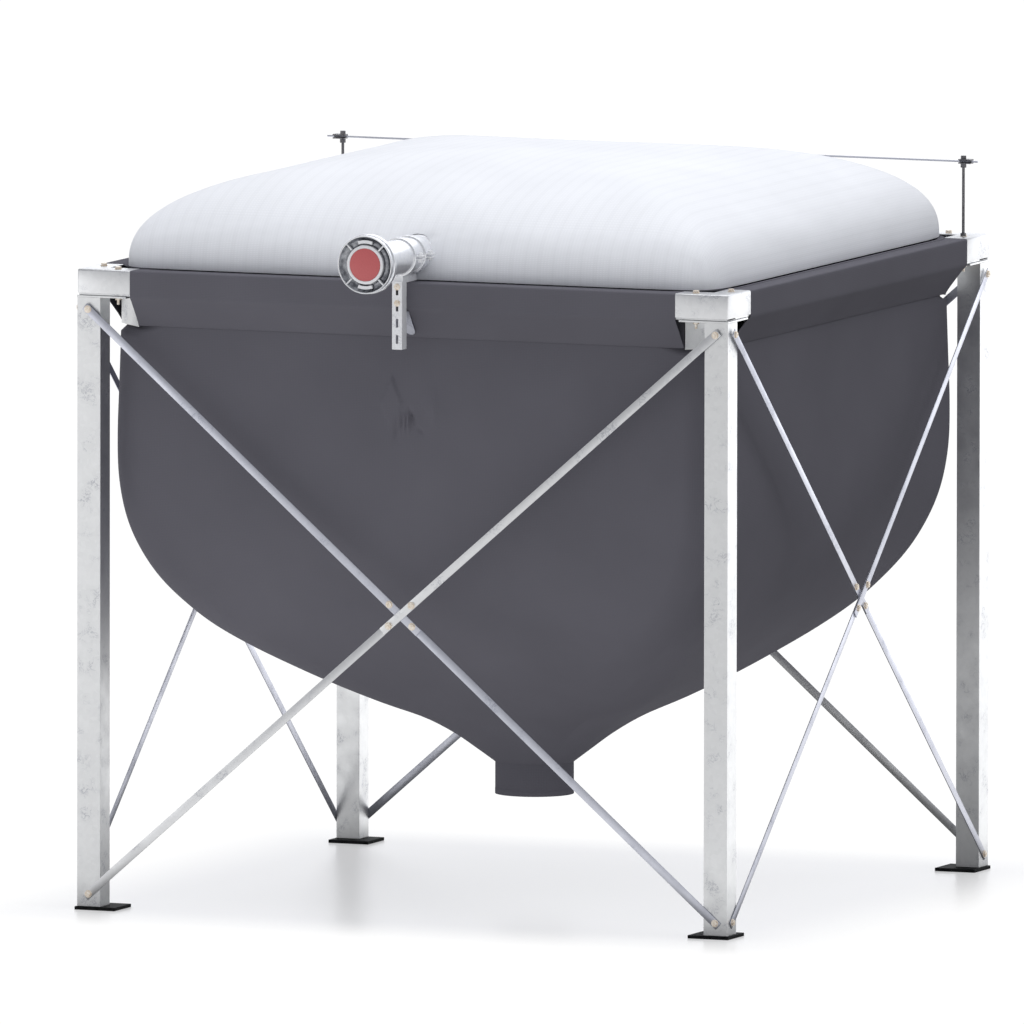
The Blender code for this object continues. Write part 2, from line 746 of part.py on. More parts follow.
def make_roof_bar():
    y = FRAME_SIDE - ROD_INSET_Y
    for name, side in (("left", -1), ("right", 1)):
        x = side * (HALF - ROD_INSET_X)
        low = BAR_HEIGHT - BAR_RADIUS - GAP
        high = BAR_HEIGHT + BAR_RADIUS + GAP
        collar = low - BAR_PLATE / 2
        profile = (
            (0, GAP),
            (ROD_NUT, GAP),
            (ROD_NUT, NUT_HEIGHT),
            (ROD_RADIUS, NUT_HEIGHT),
            (ROD_RADIUS, collar - COLLAR_HEIGHT),
            (ROD_NUT, collar - COLLAR_HEIGHT),
            (ROD_NUT, collar),
            (0, collar),
        )
        rod = add_object(
            "bar_holder_" + name, lathe(profile, 12), "zinc", (x, y, CAP_TOP), smooth=True
        )

        # Clamp plates under and over the bar, joined behind it, and the nut on top
        profile = (
            (-PLATE_FRONT, low - BAR_PLATE),
            (PLATE_REAR, low - BAR_PLATE),
            (PLATE_REAR, high + BAR_PLATE),
            (-PLATE_FRONT, high + BAR_PLATE),
            (-PLATE_FRONT, high),
            (PLATE_REAR - BAR_PLATE, high),
            (PLATE_REAR - BAR_PLATE, low),
            (-PLATE_FRONT, low),
        )
        bm = bmesh.new()
        prism(bm, profile, -PLATE_IN * side, PLATE_OUT * side, lambda p, w: (w, p[0], p[1]))
        boolean(rod, add_object("bar_clamp_" + name, bm, None, (x, y, CAP_TOP)), "UNION")
        bm = bmesh.new()
        nut = high + BAR_PLATE
        prism(bm, circle(ROD_NUT, 6), nut - BAR_PLATE / 2, nut + NUT_HEIGHT)
        boolean(rod, add_object("bar_nut_" + name, bm, None, (x, y, CAP_TOP)), "UNION")

    bm = bmesh.new()
    reach = HALF + BAR_OVERHANG
    prism(bm, circle(BAR_RADIUS, 10), -reach, reach, lambda p, w: (w, p[0], p[1]))
    place = (0, y - BAR_SET_FORWARD, CAP_TOP + BAR_HEIGHT)
    add_object("roof_bar", bm, "zinc", place, smooth=True)


def main():
    clear_scene()
    silo = bpy.data.objects.new("silo", None)
    bpy.context.scene.collection.objects.link(silo)
    silo.location = (0, -SHIFT_Y, 0)
    make_posts()
    make_corner_caps()
    make_beams_and_pockets()
    make_braces()
    make_bag()
    make_roof()
    make_filler()
    make_pipe_support()
    make_roof_bar()


main()
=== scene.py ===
import math

import bmesh
import bpy
from mathutils import Matrix, Vector, noise


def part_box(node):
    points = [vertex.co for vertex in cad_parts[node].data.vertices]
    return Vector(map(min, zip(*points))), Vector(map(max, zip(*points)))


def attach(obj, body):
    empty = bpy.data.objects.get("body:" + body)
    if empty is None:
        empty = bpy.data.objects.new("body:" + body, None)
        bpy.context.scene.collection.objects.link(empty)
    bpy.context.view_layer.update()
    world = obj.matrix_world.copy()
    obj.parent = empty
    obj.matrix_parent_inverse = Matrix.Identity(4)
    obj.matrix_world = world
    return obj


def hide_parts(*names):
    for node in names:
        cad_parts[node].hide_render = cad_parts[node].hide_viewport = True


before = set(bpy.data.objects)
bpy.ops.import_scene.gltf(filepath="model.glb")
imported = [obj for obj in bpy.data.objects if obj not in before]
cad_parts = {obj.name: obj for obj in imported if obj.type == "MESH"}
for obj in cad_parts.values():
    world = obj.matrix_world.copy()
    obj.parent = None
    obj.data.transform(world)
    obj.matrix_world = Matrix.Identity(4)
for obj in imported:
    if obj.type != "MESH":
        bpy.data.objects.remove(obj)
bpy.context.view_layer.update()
print("frame loaded")

# Places that the rest is built from, in metres, read from the frame
capLow, capHigh = Vector(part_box("corner_cap_front_left")[0]), Vector(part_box("corner_cap_back_right")[1])
halfSide = capHigh.x
capTop = capHigh.z
middleY = (capLow.y + capHigh.y) / 2
faceTurns = {"front": 0, "right": 90, "back": 180, "left": 270}
cornerSides = {"front_left": (-1, -1), "front_right": (1, -1), "back_left": (-1, 1), "back_right": (1, 1)}
mm = 0.001


def linearColor(hexValue):
    channels = [int(hexValue[i : i + 2], 16) / 255 for i in (0, 2, 4)]
    return (*[c / 12.92 if c <= 0.04045 else ((c + 0.055) / 1.055) ** 2.4 for c in channels], 1)


def setNode(tree, node, settings, links=()):
    # A node given as a source stands for its first output
    for name, value in settings.items():
        if name == "stops":
            while len(node.color_ramp.elements) < len(value):
                node.color_ramp.elements.new(0.5)
            for stop, (position, grey) in zip(node.color_ramp.elements, value):
                stop.position = position
                stop.color = (grey, grey, grey, 1)
        elif isinstance(name, int) or name in node.inputs:
            node.inputs[name].default_value = value
        else:
            setattr(node, name, value)
    for name, source in dict(links).items():
        socket = source.outputs[0] if isinstance(source, bpy.types.Node) else source
        tree.links.new(socket, node.inputs[name])
    return node


def addNode(tree, kind, settings, links=()):
    return setNode(tree, tree.nodes.new("ShaderNode" + kind), settings, links)


def startMaterial(name):
    material = bpy.data.materials.new(name)
    material.use_nodes = True
    tree = material.node_tree
    return material, tree, tree.nodes["Principled BSDF"]


# Hot-dip galvanised steel: dull zinc with faint crystals and a few thin blue-grey marks where the bath
# drained. The zinc flake paint of the strut is brushed on and less metallic, and it is whiter as painted
# light
galvanisedLook = {
    "metal": "e0e1e2", "mark": "6f7488", "roughness": 0.34, "roughSpread": 0.12, "metallic": 1.0,
    "spangleMm": 12, "patchMm": 70, "veinMm": 26, "markAmount": 0.55, "bump": 0.05,
}
steelLooks = {
    "galvanisedSteel": galvanisedLook,
    "paleGalvanisedSteel": {**galvanisedLook, "metal": "dcdddf", "patchMm": 90},
    # A darker grey copy of the galvanised steel. On the strut tongue its darkness is painted shade
    "greyAndShadedGalvanisedSteel": {**galvanisedLook, "metal": "c3c5cf", "patchMm": 90},
    "zincFlakeWithPaintedLight": {
        **galvanisedLook, "metal": "f2f3f6", "metallic": 0.3, "roughness": 0.45, "markAmount": 0.3,
    },
}


def makeGalvanisedSteel(name, look):
    material, tree, shader = startMaterial(name)
    place = addNode(tree, "TexCoord", {}).outputs["Object"]
    spangle = addNode(
        tree, "TexVoronoi", {"Scale": 1000 / look["spangleMm"], "Randomness": 1.0}, {"Vector": place},
    )
    vein = addNode(
        tree, "TexNoise",
        {"Scale": 1000 / look["veinMm"], "Detail": 6.0, "Roughness": 0.7, "Distortion": 0.5},
        {"Vector": place},
    )
    veinMask = addNode(tree, "ValToRGB", {"stops": [(0.472, 0.0), (0.5, 1.0), (0.528, 0.0)]}, {"Fac": vein})
    patch = addNode(
        tree, "TexNoise", {"Scale": 1000 / look["patchMm"], "Detail": 2.0, "Roughness": 0.5},
        {"Vector": place},
    )
    patchMask = addNode(tree, "ValToRGB", {"stops": [(0.54, 0.0), (0.66, 1.0)]}, {"Fac": patch})
    marks = addNode(tree, "Math", {"operation": "MULTIPLY"}, {0: veinMask, 1: patchMask})
    amount = addNode(tree, "Math", {"operation": "MULTIPLY", 1: look["markAmount"]}, {0: marks})
    tint = addNode(
        tree, "MixRGB", {"Color1": linearColor(look["metal"]), "Color2": linearColor(look["mark"])},
        {"Fac": amount},
    )
    crystal = addNode(tree, "MapRange", {"To Min": 0.96, "To Max": 1.02}, {"Value": spangle.outputs["Color"]})
    shade = addNode(
        tree, "MixRGB", {"blend_type": "MULTIPLY", "Fac": 1.0}, {"Color1": tint, "Color2": crystal},
    )
    rough = addNode(
        tree, "MapRange",
        {"From Min": 0.3, "From Max": 0.7, "To Min": look["roughness"],
         "To Max": look["roughness"] + look["roughSpread"]},
        {"Value": patch},
    )
    bump = addNode(tree, "Bump", {"Strength": look["bump"], "Distance": 0.4 * mm}, {"Height": spangle})
    setNode(
        tree, shader, {"Metallic": look["metallic"]},
        {"Base Color": shade, "Roughness": rough, "Normal": bump},
    )
    return material


# Fabrics are plain weaves. The threads of the real ones are under a millimetre apart, so they are drawn
# coarser here, or nothing of them would show. The roof's cloth also has a faint rib every 45 mm
bagLook = {
    "cloth": "67666e", "threadMm": 5, "ribMm": 0, "threadDepth": 0.05,
    "roughness": 0.85, "specular": 0.05, "cloudM": 0.45, "cloudDepth": 0.06, "bump": 0.25,
}
roofLook = {
    "cloth": "f1f3f8", "threadMm": 10, "ribMm": 45, "threadDepth": 0.018, "ribDepth": 0.022,
    "roughness": 0.9, "specular": 0.2, "cloudM": 0.35, "cloudDepth": 0.03, "bump": 0.25,
}
bandsPerMetre = 314.16  # a wave texture of this scale has a band every millimetre


def makeWovenCloth(name, look):
    material, tree, shader = startMaterial(name)
    place = addNode(tree, "UVMap", {"uv_map": "clothMap"}).outputs["UV"]
    warp, weft = [
        addNode(
            tree, "TexWave",
            {"bands_direction": direction, "Scale": bandsPerMetre / look["threadMm"], "Distortion": 0.6,
             "Detail": 1.0, "Detail Scale": 2.0},
            {"Vector": place},
        )
        for direction in ("X", "Y")
    ]
    weave = addNode(tree, "Math", {"operation": "MULTIPLY"}, {0: warp.outputs["Fac"], 1: weft.outputs["Fac"]})
    cloud = addNode(
        tree, "TexNoise", {"Scale": 1 / look["cloudM"], "Detail": 3.0, "Roughness": 0.5}, {"Vector": place},
    )
    threadShade = addNode(
        tree, "MapRange", {"To Min": 1 - look["threadDepth"], "To Max": 1 + look["threadDepth"]},
        {"Value": weave},
    )
    cloudShade = addNode(
        tree, "MapRange",
        {"From Min": 0.3, "From Max": 0.7, "To Min": 1 - look["cloudDepth"],
         "To Max": 1 + look["cloudDepth"]},
        {"Value": cloud},
    )
    shade = addNode(tree, "Math", {"operation": "MULTIPLY"}, {0: threadShade, 1: cloudShade})
    if look["ribMm"]:
        rib = addNode(
            tree, "TexWave",
            {"bands_direction": "X", "Scale": bandsPerMetre / look["ribMm"], "Distortion": 0.25,
             "Detail": 1.0},
            {"Vector": place},
        )
        line = addNode(
            tree, "MapRange",
            {"From Min": 0.0, "From Max": 0.35, "To Min": 1 - look["ribDepth"], "To Max": 1.0},
            {"Value": rib.outputs["Fac"]},
        )
        shade = addNode(tree, "Math", {"operation": "MULTIPLY"}, {0: shade, 1: line})
    color = addNode(
        tree, "MixRGB", {"blend_type": "MULTIPLY", "Fac": 1.0, "Color1": linearColor(look["cloth"])},
        {"Color2": shade},
    )
    bump = addNode(tree, "Bump", {"Strength": look["bump"], "Distance": 0.6 * mm}, {"Height": weave})
    setNode(
        tree, shader, {"Roughness": look["roughness"], "Specular IOR Level": look["specular"]},
        {"Base Color": color, "Normal": bump},
    )
    return material


# Polished aluminium is bright and a little uneven, and the cast dish is darker. Plated bolts are warm and
# cloudy, threaded rod is dark, the foot plates are rolled steel black with scale, and the disc is plastic
plainLooks = {
    "polishedAluminium": {
        "light": "fafbfd", "dark": "eceef3", "metallic": 0.6, "specular": 0.5, "rough": (0.14, 0.24),
        "grainMm": 9, "bump": 0.01,
    },
    "castAluminium": {
        "light": "a2a4a9", "dark": "66686e", "metallic": 1.0, "specular": 0.5, "rough": (0.20, 0.32),
        "grainMm": 16, "bump": 0.03,
    },
    "zincPlatedSteel": {
        "light": "fbf4ea", "dark": "e2d2bd", "metallic": 0.45, "specular": 0.5, "rough": (0.30, 0.45),
        "grainMm": 7, "bump": 0.03,
    },
    "threadedRodSteel": {
        "light": "7b7a7c", "dark": "4a494d", "metallic": 1.0, "specular": 0.5, "rough": (0.30, 0.45),
        "grainMm": 4, "bump": 0.08,
    },
    "millScaleSteel": {
        "light": "1e1f21", "dark": "0a0b0c", "metallic": 0.1, "specular": 0.12, "rough": (0.60, 0.75),
        "grainMm": 8, "bump": 0.15,
    },
    "redMouldedPlastic": {
        "light": "cd6668", "dark": "c86163", "metallic": 0.0, "specular": 0.5, "rough": (0.34, 0.44),
        "grainMm": 3, "bump": 0.03,
    },
}


def makePlainFinish(name, look):
    material, tree, shader = startMaterial(name)
    place = addNode(tree, "TexCoord", {}).outputs["Object"]
    grain = addNode(
        tree, "TexNoise", {"Scale": 1000 / look["grainMm"], "Detail": 4.0, "Roughness": 0.6},
        {"Vector": place},
    )
    mask = addNode(tree, "ValToRGB", {"stops": [(0.38, 0.0), (0.64, 1.0)]}, {"Fac": grain})
    color = addNode(
        tree, "MixRGB", {"Color1": linearColor(look["light"]), "Color2": linearColor(look["dark"])},
        {"Fac": mask},
    )
    rough = addNode(
        tree, "MapRange", {"To Min": look["rough"][0], "To Max": look["rough"][1]}, {"Value": grain},
    )
    bump = addNode(tree, "Bump", {"Strength": look["bump"], "Distance": 0.3 * mm}, {"Height": grain})
    setNode(
        tree, shader, {"Metallic": look["metallic"], "Specular IOR Level": look["specular"]},
        {"Base Color": color, "Roughness": rough, "Normal": bump},
    )
    return material


finishes = {name: makePlainFinish(name, look) for name, look in plainLooks.items()}
finishes.update({name: makeGalvanisedSteel(name, look) for name, look in steelLooks.items()})
finishes["anthraciteWovenCloth"] = makeWovenCloth("anthraciteWovenCloth", bagLook)
finishes["whiteWovenCloth"] = makeWovenCloth("whiteWovenCloth", roofLook)
print("materials made")


def addObject(name, content):
    made = bpy.data.objects.new(name, content)
    bpy.context.scene.collection.objects.link(made)
    return made


def meshObject(name, bm, material):
    mesh = bpy.data.meshes.new(name)
    bm.to_mesh(mesh)
    bm.free()
    mesh.materials.append(material)
    return addObject(name, mesh)


def finishPiece(name, bm, finish, smooth, node=None):
    piece = meshObject(name, bm, finishes[finish])
    piece.data.shade_smooth()
    piece.data.set_sharp_from_angle(angle=math.radians(smooth))
    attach(piece, "root")
    if node:
        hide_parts(node)
    return piece


def addModifier(piece, kind, **settings):
    modifier = piece.modifiers.new(kind.lower(), kind)
    for name, value in settings.items():
        setattr(modifier, name, value)


def faceMatrix(face):
    # What is built for the front face, round the frame's middle, goes to its own face
    return Matrix.Translation((0, middleY, 0)) @ Matrix.Rotation(math.radians(faceTurns[face]), 4, "Z")


def moveToCorner(bm, sides):
    # Corner distances, inward along X and Y, become places at that corner
    for vert in bm.verts:
        u, v, z = vert.co
        vert.co = (sides[0] * (halfSide - u), middleY + sides[1] * (halfSide - v), z)
    bmesh.ops.recalc_face_normals(bm, faces=bm.faces)


def edgesOf(made):
    return list({edge for vert in made["verts"] for edge in vert.link_edges})


def roundEdges(bm, edges, offset, segments):
    bmesh.ops.bevel(
        bm, geom=edges, offset=offset, offset_type="OFFSET", segments=segments, profile=0.5,
        affect="EDGES", material=-1,
    )


def addBlock(bm, place, size, edge):
    made = bmesh.ops.create_cube(bm, size=1, matrix=place @ Matrix.Diagonal((*size, 1)))
    roundEdges(bm, edgesOf(made), edge, 2)


def between(value, low, high):
    t = min(max((value - low) / (high - low), 0), 1)
    return t * t * (3 - 2 * t)


def bagClothFrom(name, rows, node, thickness, closed=False):
    # A sheet through rows of points. Its map holds the distances over the cloth, in metres
    bm = bmesh.new()
    layer = bm.loops.layers.uv.new("clothMap")
    grid = [[bm.verts.new(point) for point in row] for row in rows]
    columns = len(rows[0])
    down = [0]
    middle = columns // 2
    for upper, lower in zip(rows, rows[1:]):
        down.append(down[-1] + (upper[middle] - lower[middle]).length)
    across = []
    for row in rows:
        run = [0]
        for a, b in zip(row, row[1:] + row[:1]):
            run.append(run[-1] + (a - b).length)
        across.append([r - run[middle] for r in run])
    for i in range(len(rows) - 1):
        for j in range(columns if closed else columns - 1):
            k = (j + 1) % columns
            face = bm.faces.new((grid[i][j], grid[i + 1][j], grid[i + 1][k], grid[i][k]))
            corners = ((i, j), (i + 1, j), (i + 1, j + 1), (i, j + 1))
            for loop, (r, c) in zip(face.loops, corners):
                loop[layer].uv = (across[r][c], down[r])
    area = sum(face.calc_area() for face in bm.faces)
    bm.normal_update()
    bmesh.ops.solidify(bm, geom=bm.faces[:], thickness=thickness)
    return finishPiece(name, bm, "anthraciteWovenCloth", 60, node), area


# Bag: half its width at each height below the cap top, from the outline of the real one. The rim is
# (height, reach), fine rows and columns are (start, end, steps), heights and distances are in metres
bag = {
    "stations": (
        (0.0, 0.9742), (-0.175, 0.9752), (-0.35, 0.9792), (-0.5, 0.9829), (-0.62, 0.9808), (-0.72, 0.9694),
        (-0.80, 0.951), (-0.88, 0.9217), (-0.95, 0.8864), (-1.02, 0.8384), (-1.09, 0.7793), (-1.16, 0.7009),
        (-1.23, 0.6071), (-1.29, 0.517), (-1.35, 0.4127), (-1.40, 0.3095), (-1.45, 0.2324), (-1.50, 0.1697),
        (-1.54, 0.1196),
    ),
    "top": -0.003,
    "rim": (-0.0012, 0.0192),
    "rows": 104,
    "fineRows": (-0.26, -0.50, 60),
    "slopeStep": 0.004,
    "sidePoints": 44,
    "fineColumns": (-0.16, 0.10, 56),
    "cornerPoints": 22,
    "topRadius": 0.190,
    "gussetBottom": -0.176,
    "gussetFade": 0.018,
    "cornerShare": 0.108,
    "cornerPower": 1.447,
    "spoutRadius": 0.1195,
    "widest": 0.988,
    "thickness": 2.0 * mm,
    "flat": (1.92, 2.10),
}

# Shallow waves that stand out over the whole panel, and smaller creases in its upper half
drape = {
    "depth": 3.0 * mm, "waves": (1.6, 0.9), "waveShare": 1.6, "creases": (7.0, 2.2), "creaseShare": 0.35,
    "creaseSeed": 7, "creaseTop": (0.15, 0.3), "creaseFoot": (0.4, 0.8), "seam": 0.22, "top": (0.10, 0.30),
}

# Cloth that is gathered under the filler pipe on the front: a flat fold, three pleats below it, and dents
# beside them. The fold is (across, height, width, length, depth), the pleats are (left, right, top,
# bottom, pitch, depth) and each dent is (across, height, width, length, depth, lean)
gather = {
    "fold": (-0.062, -0.372, 0.042, 0.095, 7 * mm),
    "foldRise": 0.35,
    "foldShares": (0.55, 0.45),
    "pleats": (-0.042, 0.002, -0.392, -0.482, 0.0145, 6 * mm),
    "pleatFades": {"side": 0.006, "top": 0.02, "foot": 0.05},
    "dents": (
        (0.003, -0.410, 0.007, 0.026, -8 * mm, 0.30), (0.032, -0.450, 0.007, 0.014, -4 * mm, 0.80),
        (0.076, -0.385, 0.024, 0.050, 8 * mm, 0.0), (-0.047, -0.462, 0.006, 0.026, -4 * mm, -0.2),
    ),
}


def bagHalf(z):
    # Smooth curve through the stations
    stations = bag["stations"]
    for i in range(len(stations) - 1):
        if z >= stations[i + 1][0] or i == len(stations) - 2:
            break
    slopes = []
    for k in (i, i + 1):
        a, b = max(k - 1, 0), min(k + 1, len(stations) - 1)
        slopes.append((stations[b][1] - stations[a][1]) / (stations[b][0] - stations[a][0]))
    (z0, h0), (z1, h1) = stations[i], stations[i + 1]
    d = z1 - z0
    t = (z - z0) / d
    return (
        h0 * (1 + 2 * t) * (1 - t) ** 2 + h1 * t * t * (3 - 2 * t)
        + d * slopes[0] * t * (1 - t) ** 2 + d * slopes[1] * t * t * (t - 1)
    )


def bagRadius(z, half):
    # Corners are rounder towards the spout. Above the gusset they keep the top's radius
    share = min(max((half - bag["spoutRadius"]) / (bag["widest"] - bag["spoutRadius"]), 0), 1)
    radius = half * (bag["cornerShare"] + (1 - bag["cornerShare"]) * (1 - share) ** bag["cornerPower"])
    t = between(z, bag["gussetBottom"] - bag["gussetFade"], bag["gussetBottom"])
    return radius + (bag["topRadius"] - radius) * t * t


def gathered(across, z):
    x, height, width, length, depth = gather["fold"]
    edge = max(0, 1 - abs(across - x) / width - abs(z - height) / length)
    flatShare, slantShare = gather["foldShares"]
    lift = depth * between(edge, 0, gather["foldRise"]) * (flatShare + slantShare * (z - height) / length)
    left, right, top, bottom, pitch, depth = gather["pleats"]
    fades = gather["pleatFades"]
    inside = between(across, left, left + fades["side"]) * (1 - between(across, right - fades["side"], right))
    along = between(top - z, 0, fades["top"]) * (1 - between(bottom + fades["foot"] - z, 0, fades["foot"]))
    lift += depth * abs(math.sin(math.pi * (across - left) / pitch)) * inside * along
    for x, height, width, length, depth, lean in gather["dents"]:
        side = (across - x) * math.cos(lean) + (z - height) * math.sin(lean)
        down = (z - height) * math.cos(lean) - (across - x) * math.sin(lean)
        lift += depth * math.exp(-((side / width) ** 2) - (down / length) ** 2)
    return lift


def clothLift(face, across, z, toSeam):
    # How far the panel stands out or in from its smooth shape
    waves, creases, turn = drape["waves"], drape["creases"], faceTurns[face]
    wave = noise.noise(Vector((across * waves[0], z * waves[1], turn))) * drape["waveShare"]
    crease = noise.noise(Vector((across * creases[0], z * creases[1], turn + drape["creaseSeed"])))
    creased = between(-z, *drape["creaseTop"]) * (1 - between(-z, *drape["creaseFoot"]))
    fade = between(toSeam, 0.0, drape["seam"]) * between(-z, *drape["top"])
    lift = drape["depth"] * (wave + drape["creaseShare"] * crease * creased) * fade
    return lift + (gathered(across, z) if face == "front" else 0)


def spread(start, end, parts, fine):
    # Even steps from start to end, with smaller ones over a stretch
    places = [start + (end - start) * k / parts for k in range(parts + 1)]
    if fine:
        low, high, count = min(fine[:2]), max(fine[:2]), fine[2]
        places = [p for p in places if not low - 1 * mm < p < high + 1 * mm]
        places += [low + (high - low) * k / count for k in range(count + 1)]
    return sorted(places, reverse=start > end)


def cornerArc(side, firstAngle, centre, radius):
    # Half of a corner's curve, as points with the direction that they face
    arc = []
    for k in range(bag["cornerPoints"] + 1):
        a = math.radians(firstAngle + 45 * k / bag["cornerPoints"])
        x, y = side * centre + radius * math.cos(a), -centre + radius * math.sin(a)
        arc.append((x, y, math.cos(a), math.sin(a)))
    return arc


def bagPanel(face):
    rows = []
    top, bottom, step = bag["top"], bag["stations"][-1][0], bag["slopeStep"]
    rimTop, rimReach = bag["rim"]
    shares = spread(-1, 1, bag["sidePoints"], bag["fineColumns"] if face == "front" else None)[1:-1]
    for z in [rimTop, *spread(top, bottom, bag["rows"], bag["fineRows"])]:
        # The first row is the rim, sewn to the pocket
        rimOut = rimReach if z == rimTop else 0
        half = bagHalf(z) + rimOut
        radius = bagRadius(z, half) + rimOut
        centre = half - radius
        slope = math.atan2(bagHalf(max(z - step, bottom)) - bagHalf(min(z + step, top)), 2 * step)
        outline = [
            *cornerArc(-1, 225, centre, radius), *[(centre * share, -half, 0, -1) for share in shares],
            *cornerArc(1, 270, centre, radius),
        ]
        run = [0]
        for (xa, ya, _, _), (xb, yb, _, _) in zip(outline, outline[1:]):
            run.append(run[-1] + math.hypot(xb - xa, yb - ya))
        row = []
        for (x, y, nx, ny), distance in zip(outline, run):
            lift = clothLift(face, x, z, min(distance, run[-1] - distance))
            out = math.cos(slope) * lift
            row.append(Vector((x + nx * out, y + ny * out, capTop + z + math.sin(slope) * lift)))
        rows.append(row)
    rows = [[faceMatrix(face) @ point for point in row] for row in rows]
    piece, area = bagClothFrom("bagCloth_" + face, rows, "bag_panel_" + face, bag["thickness"])
    return area


bagAreas = [bagPanel(face) for face in faceTurns]
print("bag panels made, areas", [round(area, 3) for area in bagAreas])

# Spout sleeve with a double hem at its mouth. Its rows are close together down to the hem
spout = {
    "top": -1.538, "bottom": -1.637, "inset": 1.0 * mm, "rowStep": 0.004, "rows": 20, "hem": 0.016,
    "hemRows": (0.001, 0.0, -0.006), "hemProud": 0.4 * mm, "points": 72, "thickness": 2.0 * mm,
    "flat": (0.751, 0.100),
}


def spoutSleeve():
    hemTop = spout["bottom"] + spout["hem"]
    levels = [spout["top"] - spout["rowStep"] * i for i in range(spout["rows"])]
    levels += [hemTop + step for step in spout["hemRows"]] + [spout["bottom"]]
    rows = []
    for z in levels:
        radius = bag["spoutRadius"] - spout["inset"] + (spout["hemProud"] if z <= hemTop else 0)
        row = []
        for k in range(spout["points"]):
            a = -math.pi / 2 + math.tau * k / spout["points"]
            row.append(Vector((radius * math.cos(a), middleY + radius * math.sin(a), capTop + z)))
        rows.append(row)
    piece, area = bagClothFrom("spoutSleeve", rows, "bag_spout", spout["thickness"], closed=True)


spoutSleeve()

# Pocket of bag cloth sewn round each top beam. Its section is (depth inward, height) points, and its
# slanting underside sags a little between the two heights where the slant starts and ends
pocket = {
    "section": ((0.0002, -0.0005), (0.0002, -0.080), (0.0735, -0.174), (0.0745, -0.0005)),
    "corner": 0.007, "cornerSteps": 4, "step": 0.014, "stations": 90, "thickness": 2.0 * mm,
    "slantTop": (0.082, 0.10), "slantFoot": (0.15, 0.172), "slantDepth": 0.072, "slantFade": 0.01,
    "sag": 1.6 * mm, "sagMean": 0.9, "sagWaves": (5.0, 9.0), "sagSeed": 3, "sagRise": 0.6,
    "cutSpare": 2 * mm,
}


def pocketOutline():
    points = [Vector(p) for p in pocket["section"]]
    rounded = []
    for i, point in enumerate(points):
        before = (points[i - 1] - point).normalized() * pocket["corner"]
        after = (points[(i + 1) % len(points)] - point).normalized() * pocket["corner"]
        for k in range(pocket["cornerSteps"] + 1):
            t = k / pocket["cornerSteps"]
            rounded.append(point + before * (1 - t) ** 2 + after * t**2)
    # The long runs get points of their own, so that they can sag
    outline = []
    for i, point in enumerate(rounded):
        following = rounded[(i + 1) % len(rounded)]
        parts = max(round((following - point).length / pocket["step"]), 1)
        outline += [point.lerp(following, k / parts) for k in range(parts)]
    return outline


def beamPocket(face):
    low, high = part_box("beam_pocket_" + face)
    half = ((high[0] - low[0]) if face in ("front", "back") else (high[1] - low[1])) / 2
    outline = pocketOutline()
    acrossWaves, downWaves = pocket["sagWaves"]
    seed = faceTurns[face] + pocket["sagSeed"]
    rows = []
    for p in outline:
        slanting = between(-p.y, *pocket["slantTop"]) * (1 - between(-p.y, *pocket["slantFoot"]))
        slanting *= between(pocket["slantDepth"] - p.x, 0, pocket["slantFade"])
        row = []
        for k in range(pocket["stations"] + 1):
            x = -half + 2 * half * k / pocket["stations"]
            wave = noise.noise(Vector((x * acrossWaves, p.y * downWaves, seed)))
            inward = pocket["sag"] * (pocket["sagMean"] + wave) * slanting
            row.append(Vector((x, -halfSide + p.x + inward, capTop + p.y + pocket["sagRise"] * inward)))
        rows.append(row)
    rows.append(rows[0])
    rows = [[faceMatrix(face) @ point for point in row] for row in rows]
    piece, area = bagClothFrom("pocketCloth_" + face, rows, "beam_pocket_" + face, pocket["thickness"])


for face in faceTurns:
    beamPocket(face)
print("bag, spout and pockets made")

# Roof: a blown-up pillow over a rounded square, flat on top and steep at its sides. Its last two rows go
# straight down to the pockets, where the seam is. Over the steep flanks the ribs lie closer together
roof = {
    "height": 0.313, "half": 0.965, "fullness": 2.58, "edgeShape": 18, "middleShape": 2.4,
    "squaring": (0.15, 0.38), "rowPower": 1.9, "cells": 72, "seam": 0.999, "seamHeight": 0.4 * mm,
    "hemHeight": 1.6 * mm, "lift": 0.0003, "thickness": 2.0 * mm, "flat": (2.27, 2.27),
    "billow": 3 * mm, "billowWaves": 2.0, "billowSeed": 1.5, "fineWaves": 6, "fineShare": 0.4,
    "billowFade": (0.8, 1.0), "flankFrom": 0.90, "flankFade": 0.05, "flankStretch": 1.6,
    "pipeRadius": 0.0548, "pipeHeight": 0.080, "holeDepth": 0.15, "holeSpare": 0.004, "holeReach": 0.10,
    "holeAbove": 1.2 * mm,
}


def roofPoint(a, b):
    reach = max(abs(a), abs(b))
    if reach < 1e-6:
        return Vector((0, 0, roof["height"])), 0
    share = 1 - (1 - reach) ** roof["rowPower"]
    squareness = between(share, *roof["squaring"])
    power = roof["middleShape"] + (roof["edgeShape"] - roof["middleShape"]) * squareness
    p, q = a / reach, b / reach
    size = (abs(p) ** power + abs(q) ** power) ** (1 / power)
    rise = max(1 - share ** roof["fullness"], 0) ** (1 / roof["fullness"])
    x, y = share * p / size * roof["half"], share * q / size * roof["half"]
    if reach > 1 - 0.5 / roof["cells"]:
        return Vector((x * roof["seam"], y * roof["seam"], roof["seamHeight"])), share
    if reach > 1 - 1.5 / roof["cells"]:
        return Vector((x, y, roof["hemHeight"])), share
    return Vector((x, y, roof["height"] * rise)), share


def onRoofMap(along, drop):
    flank = max(abs(along) - roof["flankFrom"], 0)
    return along + math.copysign(drop * min(flank / roof["flankFade"], 1), along)


